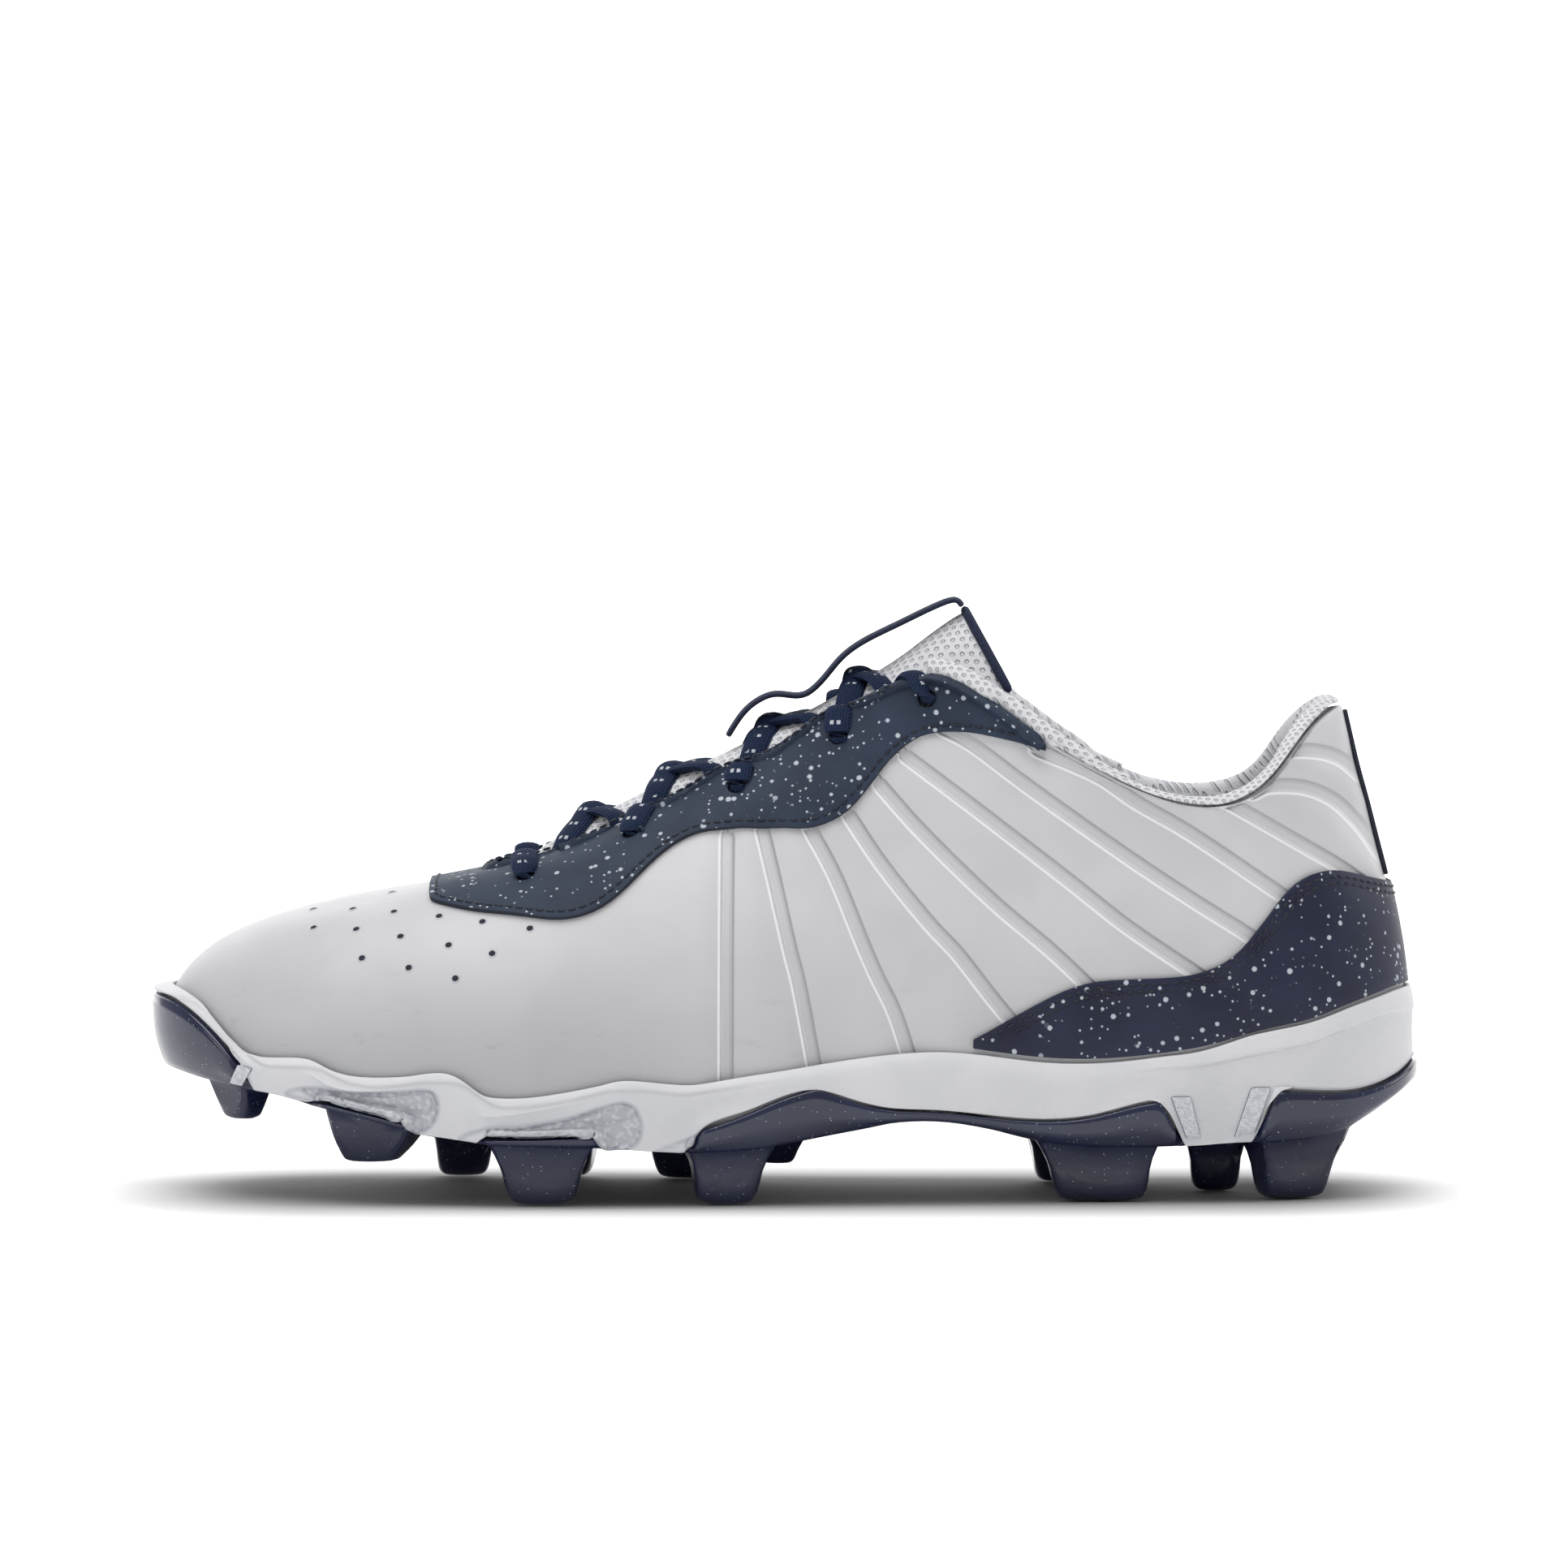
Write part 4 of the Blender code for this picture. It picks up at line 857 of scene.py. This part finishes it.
# %%
def swell(obj, pressure, most):
    """Round a padded piece by air pressure inside it, moving no point more than most millimetres."""
    push(obj, np.ones(len(obj.data.vertices)), -0.2)
    before = coordinates(obj)
    cloth = obj.modifiers.new("air", "CLOTH")
    cloth.settings.use_pressure = True
    cloth.settings.uniform_pressure_force = pressure
    cloth.settings.effector_weights.gravity = 0.0
    for step in range(1, 21):
        bpy.context.scene.frame_set(step)
    only(obj)
    bpy.ops.object.modifier_apply(modifier=cloth.name)
    bpy.context.scene.frame_set(1)
    moved = coordinates(obj) - before
    far = np.linalg.norm(moved, axis=1)
    share = np.minimum(1.0, most / np.maximum(far, 1e-6))
    obj.data.vertices.foreach_set("co", ((before + moved * share[:, None]) * MM).ravel())
    obj.data.update()
    print(f"{obj.name} swelled by {np.mean(np.minimum(far, most)):.2f} mm on average")
    finer(obj, 1)


collar = copy_of("collar_lining", "collar_roll")
finer(collar, 2, 80, 0.5)
swell(collar, 4.0, 0.7)
settle(collar, COLLAR_KNIT, "white_knit", "collar_lining")

tongue = copy_of("tongue", "tongue_knit")
finer(tongue, 2, 70, 0.5)
swell(tongue, 4.0, 0.6)
settle(tongue, TONGUE_KNIT, "white_knit", "tongue")

for node, name, crease, growth in (("tongue_binding", "tongue_binding_tape", 0.4, 0.85),
                                   ("tongue_webbing", "tongue_keeper_tape", 0.3, 0.22)):
    strip = copy_of(node, name)
    finer(strip, 2, 50, crease)
    push(strip, np.ones(len(strip.data.vertices)), growth)
    settle(strip, WEBBING, "navy_webbing", node)

# %% [markdown]
# ## Vent holes in the vamp
#
# Rows of small punched holes run round the toe. Each is a very shallow bowl, painted dark as the shade
# inside the hole, with a soft raised rim, modelled once and set square to the leather at its place in
# the side view, in millimetres, on both sides.

# %%
BOWL_RADIUS, RIM_RADIUS = 0.82, 0.92
VENTS = [(-109.3, 65.6), (-99.8, 66.2), (-90.0, 66.0), (-79.4, 65.3), (-69.3, 64.3), (-58.3, 63.0),
         (-108.7, 62.1), (-98.6, 62.1), (-88.2, 60.8), (-77.0, 59.1), (-66.9, 57.4),
         (-97.0, 55.9), (-86.1, 54.0), (-75.3, 51.8), (-100.3, 68.6), (-91.0, 69.6)]


def side_hit(tree, along, up, side):
    """Where a level ray from the outer (-1) or inner (1) side meets a surface, and the normal there."""
    return tree.ray_cast(Vector((along * MM, side * 0.3, up * MM)), Vector((0, -side, 0)), 0.6)[:2]


def vent_parts():
    bpy.ops.mesh.primitive_uv_sphere_add(segments=12, ring_count=8, radius=BOWL_RADIUS * MM)
    bowl = bpy.context.object
    in_edit(bowl,
            lambda: bpy.ops.mesh.bisect(plane_co=(0, 0, 0), plane_no=(0, 0, 1), clear_inner=True))
    only(bowl)
    bpy.ops.transform.resize(value=(1, 1, 0.10), center_override=(0, 0, 0))
    bpy.ops.object.transform_apply(location=False, rotation=False, scale=True)
    bpy.ops.mesh.primitive_torus_add(major_segments=20, minor_segments=8,
                                     major_radius=RIM_RADIUS * MM, minor_radius=0.17 * MM)
    return bowl, bpy.context.object


bowl, rim = vent_parts()
frames = []
for side in (-1, 1):
    for along, up in VENTS:
        place, normal = side_hit(upper_tree, along, up, side)
        if place is not None:
            run = Vector((1, 0, 0)) - normal * normal.x
            frames.append(frame_on(place + normal * 0.02 * MM, run.normalized(), normal))
# painted shade: the bowls take the dark cut-edge finish and stand for the shade inside each hole
settle(scatter("vent_holes", bowl, frames), EDGE, "white_leather")
settle(scatter("vent_rims", rim, frames), LEATHER, "white_leather")
for each in (bowl, rim):
    bpy.data.objects.remove(each, do_unlink=True)

# %% [markdown]
# ## Foam straps
#
# Two short white straps of the foam come down over the outsole between the heel studs, and a small tab
# sits behind the toe bumper. Each is a little sheet, bent onto the side where it lies, then thickened
# and bevelled. Corners are given in the side view, in millimetres, clockwise from the upper toe end.

# %%
STRAPS = [
    [(88.0, 25.0), (93.8, 25.0), (96.8, 12.2), (93.0, 12.2)],
    [(106.9, 27.0), (112.7, 27.0), (107.6, 13.5), (102.4, 13.5)],
    [(-126.0, 31.5), (-122.0, 30.6), (-124.6, 26.0), (-128.2, 26.6)],
]


def strap(name, corners, side, trees):
    """A thin slab laid onto the side of the shoe."""
    bpy.ops.mesh.primitive_grid_add(x_subdivisions=6, y_subdivisions=14, size=2.0)
    slab = bpy.context.object
    slab.name = name
    top_near, top_far, low_far, low_near = [Vector((x, z, 0)) for x, z in corners]
    for vertex in slab.data.vertices:
        across, down = (vertex.co.x + 1) / 2, (1 - vertex.co.y) / 2
        spot = top_near.lerp(top_far, across).lerp(low_near.lerp(low_far, across), down)
        hits = [side_hit(tree, spot.x, spot.y, side)[0] for tree in trees]
        depth = max((hit.y * side for hit in hits if hit is not None), default=0.03)
        vertex.co = (spot.x * MM, side * (depth + 0.5 * MM), spot.y * MM)
    in_edit(slab,
            lambda: bpy.ops.mesh.vertices_smooth(factor=0.5, repeat=4))
    if slab.data.polygons[0].normal.y * side < 0:
        slab.data.flip_normals()
    settle(slab, STRAP, "white_foam")
    thicken(slab, STRAP_EDGE_SHADE, 1.2, 0.25, 3)


def strap_foam():
    f = Finish("ribbed white foam")
    ribs = ((f.z + f.x * 0.12) * 9.0).wave() * 0.5 + 0.5
    grain = f.noise(0.7, 3.0)
    f.set(base_color=f.mix(grain.step(0.35, 0.65), paint(214, 216, 220), paint(190, 193, 200)), roughness=0.5,
          normal=f.relief(ribs * 0.5 + grain, 0.12))
    return f.material


sole_trees = [tree_of(midsole), tree_of(outsole)]
STRAP = strap_foam()
# painted shade: the white foam strap's cut sides are painted grey, as the shade along its edges
STRAP_EDGE_SHADE = mottled("foam strap edge", 1.0, paint(120, 124, 134), paint(96, 100, 112), 0.7, 1.0, 0.0, 2.0)
for number, corners in enumerate(STRAPS, 1):
    for side in (-1, 1):
        strap(f"foam_strap_{number}_{SIDE_NAMES[side]}", corners, side, sole_trees)

# %% [markdown]
# ## Laces
#
# The lace is a flat oval braid, 6.2 mm wide. A straight strand is modelled first and mapped from end to
# end, then bent onto a line. That line is laid over the real surfaces: each of its points is a place
# seen from above, and takes its height from the tongue or the eyestay under it. Front ends come up out
# of an eyelet and over the eyestay's edge; rear ends dive under the opposite edge.

# %%
LACE_WIDTH = 6.2
LACE_THICK = 1.9
tongue_tree, eyestay_tree, collar_tree = tree_of(tongue), tree_of(eyestay), tree_of(collar)


def eyelet_spots(side):
    """Place and normal of the eyelets of one side, from the toe back."""
    spots = []
    for loop in eyestay_loops:
        if loop_length(loop) < 25:
            centre = sum((place for place, _, _ in loop), Vector()) / len(loop)
            normal = sum((normal for _, normal, _ in loop), Vector()).normalized()
            if (centre.y - MIDDLE * MM) * side > 0:
                spots.append((centre, normal))
    return sorted(spots, key=lambda spot: spot[0].x)


EYELETS = {side: eyelet_spots(side) for side in (-1, 1)}
print("eyelets:", {side: len(spots) for side, spots in EYELETS.items()})


def height_on(trees, x, y):
    """The highest point of some surfaces at a place seen from above, in metres."""
    hits = [tree.ray_cast(Vector((x, y, 0.3)), Vector((0, 0, -1)), 0.4)[0] for tree in trees]
    heights = [hit.z for hit in hits if hit is not None]
    return max(heights) if heights else None


def laid(trees, start, end, clear, steps=6):
    """Points between two places, clear millimetres above some surfaces, or level beyond their edge."""
    line = []
    for index in range(steps + 1):
        spot = start.lerp(end, index / steps)
        line.append((spot, height_on(trees, spot.x, spot.y)))
    found = [high for _, high in line if high is not None]
    if not found:
        found = [trees[0].find_nearest(spot + Vector((0, 0, 0.1)))[0].z for spot, _ in line]
    for index, (spot, high) in enumerate(line):
        if high is None:
            high = found[0] if index < len(line) / 2 else found[-1]
        spot.z = high + clear * MM
    return [spot for spot, _ in line]


def strand(name, points, width, thick, pinch=(True, True)):
    """A flat braid bent onto a line. It narrows where an end is pinched into an eyelet."""
    line = smooth_line(points, 1.0 * MM)
    length = sum((one - two).length for one, two in zip(line, line[1:]))
    bpy.ops.mesh.primitive_cylinder_add(vertices=16, radius=0.5 * MM, depth=length,
                                        location=(length / 2, 0, 0), rotation=(0, math.pi / 2, 0))
    lace = bpy.context.object
    lace.name = name
    bpy.ops.object.transform_apply(location=True, rotation=True, scale=True)
    choose(lace, "EDGE", lambda edge: abs(edge.verts[0].co.x - edge.verts[1].co.x) > 0.5 * length)
    bpy.ops.mesh.subdivide(number_cuts=max(8, int(length / MM)))
    bpy.ops.object.mode_set(mode="OBJECT")
    only(lace)
    bpy.ops.transform.resize(value=(1, width, thick), center_override=(0, 0, 0))
    bpy.ops.object.transform_apply(location=False, rotation=False, scale=True)
    run = lace.data.uv_layers.new(name="run")
    for loop in lace.data.loops:
        place = lace.data.vertices[loop.vertex_index].co
        run.data[loop.index].uv = (place.x / MM, place.y / MM)
    for vertex in lace.data.vertices:
        place = vertex.co
        flat = min(1.0, abs(place.y) / (0.5 * width * MM))
        place.z *= 0.75 + 0.5 * math.sqrt(max(0.0, 1 - flat ** 4))
        near = min(place.x if pinch[0] else length, length - place.x if pinch[1] else length)
        narrow = 0.62 + 0.38 * min(1.0, near / (5 * MM))
        place.y *= narrow
        place.z *= 1 + 0.35 * (1 - narrow)
    data = bpy.data.curves.new(name + "_line", "CURVE")
    data.dimensions, data.twist_mode = "3D", "Z_UP"
    spline = data.splines.new("POLY")
    spline.points.add(len(line) - 1)
    for point, place in zip(spline.points, line):
        point.co = (*place, 1.0)
    guide = placed(name + "_line", data)
    apply(lace, "CURVE", object=guide, deform_axis="POS_X")
    bpy.data.objects.remove(guide, do_unlink=True)
    only(lace)
    bpy.ops.object.shade_smooth_by_angle(angle=math.radians(60))
    return lace


def from_eyelet(number, side):
    """The first points of a strand that comes up out of an eyelet."""
    place, normal = EYELETS[side][number]
    return [place - normal * 2.6 * MM, place + normal * 0.2 * MM, place + normal * 1.5 * MM]


def on_middle(along, across=0.0):
    return Vector((along * MM, (TONGUE_MIDDLE + across) * MM, 0.0))


BOTH = [tongue_tree, eyestay_tree]
bar_start, bar_end = from_eyelet(0, -1), from_eyelet(0, 1)
middle_bar = laid(BOTH, bar_start[-1], bar_end[-1], 1.35, 12)
bar = strand("lace_bar_braid", bar_start[:2] + middle_bar[1:-1] + bar_end[:2][::-1], LACE_WIDTH, LACE_THICK)
settle(bar, LACE, "navy_lace", "lace_bar")

# for each crossing: its place, those of its front and rear ends along the shoe, and the eyelets of those ends
CROSSES = [(-44.8, -51.5, -38.0, None, None), (-26.2, -31.5, -16.5, 1, None),
           (-3.0, -8.5, 6.5, 2, None), (17.2, 12.5, 27.5, 3, 4)]
for number, (centre, front, rear, eyelet, last) in enumerate(CROSSES, 1):
    for side in (-1, 1):
        over_it = 2.9 if side < 0 else 1.2
        top = on_middle(centre)
        if eyelet is None:
            begin = laid([tongue_tree], on_middle(front, 15.5 * side), on_middle(front, 10 * side), 0.3, 1)
            begin += laid(BOTH, on_middle(front + 1.0, 7.5 * side), top, 1.2, 2)[:-1]
        else:
            begin = from_eyelet(eyelet, side)
            begin = begin[:2] + laid(BOTH, begin[-1], top, 1.3, 6)[1:-1]
        top.z = height_on([tongue_tree], top.x, top.y) + over_it * MM
        if last is None:
            ending = laid([tongue_tree], top, on_middle(rear, -9.5 * side), 1.2, 3)[1:]
            dive, hidden = on_middle(rear + 1.5, -13 * side), on_middle(rear + 3, -17 * side)
            ending += laid([tongue_tree], dive, hidden, 0.1, 1)
        else:
            end = from_eyelet(last, -side)
            ending = laid(BOTH + [collar_tree], top, end[-1], 1.3, 7)[1:-1] + end[:2][::-1]
        pinched = (eyelet is not None, last is not None)
        line = begin + [top] + ending
        lace = strand(f"lace_{number}_{SIDE_NAMES[side]}", line, LACE_WIDTH, LACE_THICK, pinched)
        settle(lace, LACE, "navy_lace", f"lace_cross_{number}")

# %% [markdown]
# ## The front of the collar's roll
#
# In the photograph the knit roll runs on forward from the collar, along the eyestay's top rear edge,
# and ends behind the top lace. It is the same soft tube as a lace strand, only rounder, laid on the
# highest points of that edge.

# %%
ROLL_WIDTH = 5.0
ROLL_THICK = 3.6


def rear_edge(side):
    """Places along the top edge behind the top eyelet, on one side."""
    edge_spots = np.vstack([coordinates(eyestay), coordinates(upper), coordinates(collar)])
    mine = edge_spots[(edge_spots[:, 1] - MIDDLE) * side > 0]
    line = []
    for along in np.arange(33.0, 80.0, 3.5):
        near = mine[np.abs(mine[:, 0] - along) < 1.5]
        _, across, up = near[near[:, 2].argmax()]
        sink = np.interp(along, [33, 52, 80], [1.0, 0.9, -2.4])
        line.append((along, across - side * 1.3, up + sink))
    return [Vector(place) * MM for place in line]


for side in (-1, 1):
    roll = strand(f"collar_roll_front_{SIDE_NAMES[side]}", rear_edge(side), ROLL_WIDTH, ROLL_THICK)
    settle(roll, COLLAR_KNIT, "white_knit")

# %% [markdown]
# ## The room, the light and the camera
#
# A pale sheet of paper carries the shoe. It glows white away from the shoe and fades towards its
# footprint, which leaves a painted shadow round and under it. The light is a large soft one from above
# and in front, smaller ones from the toe and from behind the heel, and a bright surround. The camera
# stands 3 degrees above the floor, far off with a long lens.

# %%
def room_sheet(name, tilt, size, move):
    bpy.ops.mesh.primitive_plane_add(size=1.0, location=(0, 0, 0), rotation=(tilt, 0, 0))
    sheet = bpy.context.object
    sheet.name = name
    only(sheet)
    bpy.ops.transform.resize(value=size, center_override=(0, 0, 0))
    bpy.ops.transform.translate(value=move)
    bpy.ops.object.transform_apply(location=True, rotation=True, scale=True)
    return sheet


def sweep():
    paper = room_sheet("paper_sweep", 0.0, (7, 7, 1), (0, 1.2, -0.0004))
    f = Finish("pale paper")
    f.set(base_color=(0.45, 0.45, 0.45, 1.0), roughness=0.85, specular_ior_level=0.1)
    # painted shadow: the paper glows white away from the shoe and less and less towards its footprint, so the
    # floor round and under it is darker; far back it glows more still
    beyond, beside = (f.x.size() - 105.0).most(0.0), ((f.y + 3.0).size() - 12.0).most(0.0)
    near = (beyond * beyond + beside * beside).maths("POWER", 0.5)
    far = f.y.step(350.0, 2200.0) * 0.75 + near.step(16.0, 74.0) * 0.78
    f.set(emission_color=f.vector(far, far, far), emission_strength=1.0)
    paper.data.materials.append(f.material)
    wall = room_sheet("white_wall", math.pi / 2, (9, 1, 6), (0, 4.7, 2.9))
    f = Finish("white wall")
    white = (1.0, 1.0, 1.0, 1.0)
    f.set(base_color=(0.9, 0.9, 0.9, 1.0), roughness=1.0, emission_color=white, emission_strength=1.0)
    wall.data.materials.append(f.material)


def lamp(name, power, size, place, aim):
    data = bpy.data.lights.new(name, "AREA")
    data.energy, data.size = power, size
    made = placed(name, data)
    made.location = place
    made.rotation_euler = (Vector(aim) - Vector(place)).to_track_quat("-Z", "Y").to_euler()


sweep()
world = bpy.data.worlds.new("bright room")
bpy.context.scene.world = world
world.use_nodes = True
world.node_tree.nodes["Background"].inputs["Color"].default_value = (1.0, 1.0, 1.0, 1.0)
world.node_tree.nodes["Background"].inputs["Strength"].default_value = 0.40
lamp("overhead", 38.0, 2.0, (-0.25, -0.45, 2.3), (0, 0, 0))
lamp("toe side", 4.5, 0.9, (-1.9, -1.2, 0.9), (0, 0, 0.06))
lamp("heel rim", 5.0, 0.8, (1.7, 0.6, 0.8), (0, 0, 0.08))
bpy.context.scene.view_settings.view_transform = "Standard"

lens = bpy.data.cameras.new("long lens")
lens.lens, lens.sensor_width = 239.0, 36.0
camera = placed("camera", lens)
elevation = math.radians(3.0)
aim = Vector((0.0, -0.02, 0.0955))
camera.location = aim + Vector((0, -math.cos(elevation), math.sin(elevation))) * 2.4
camera.rotation_euler = (aim - camera.location).to_track_quat("-Z", "Y").to_euler()
bpy.context.scene.camera = camera
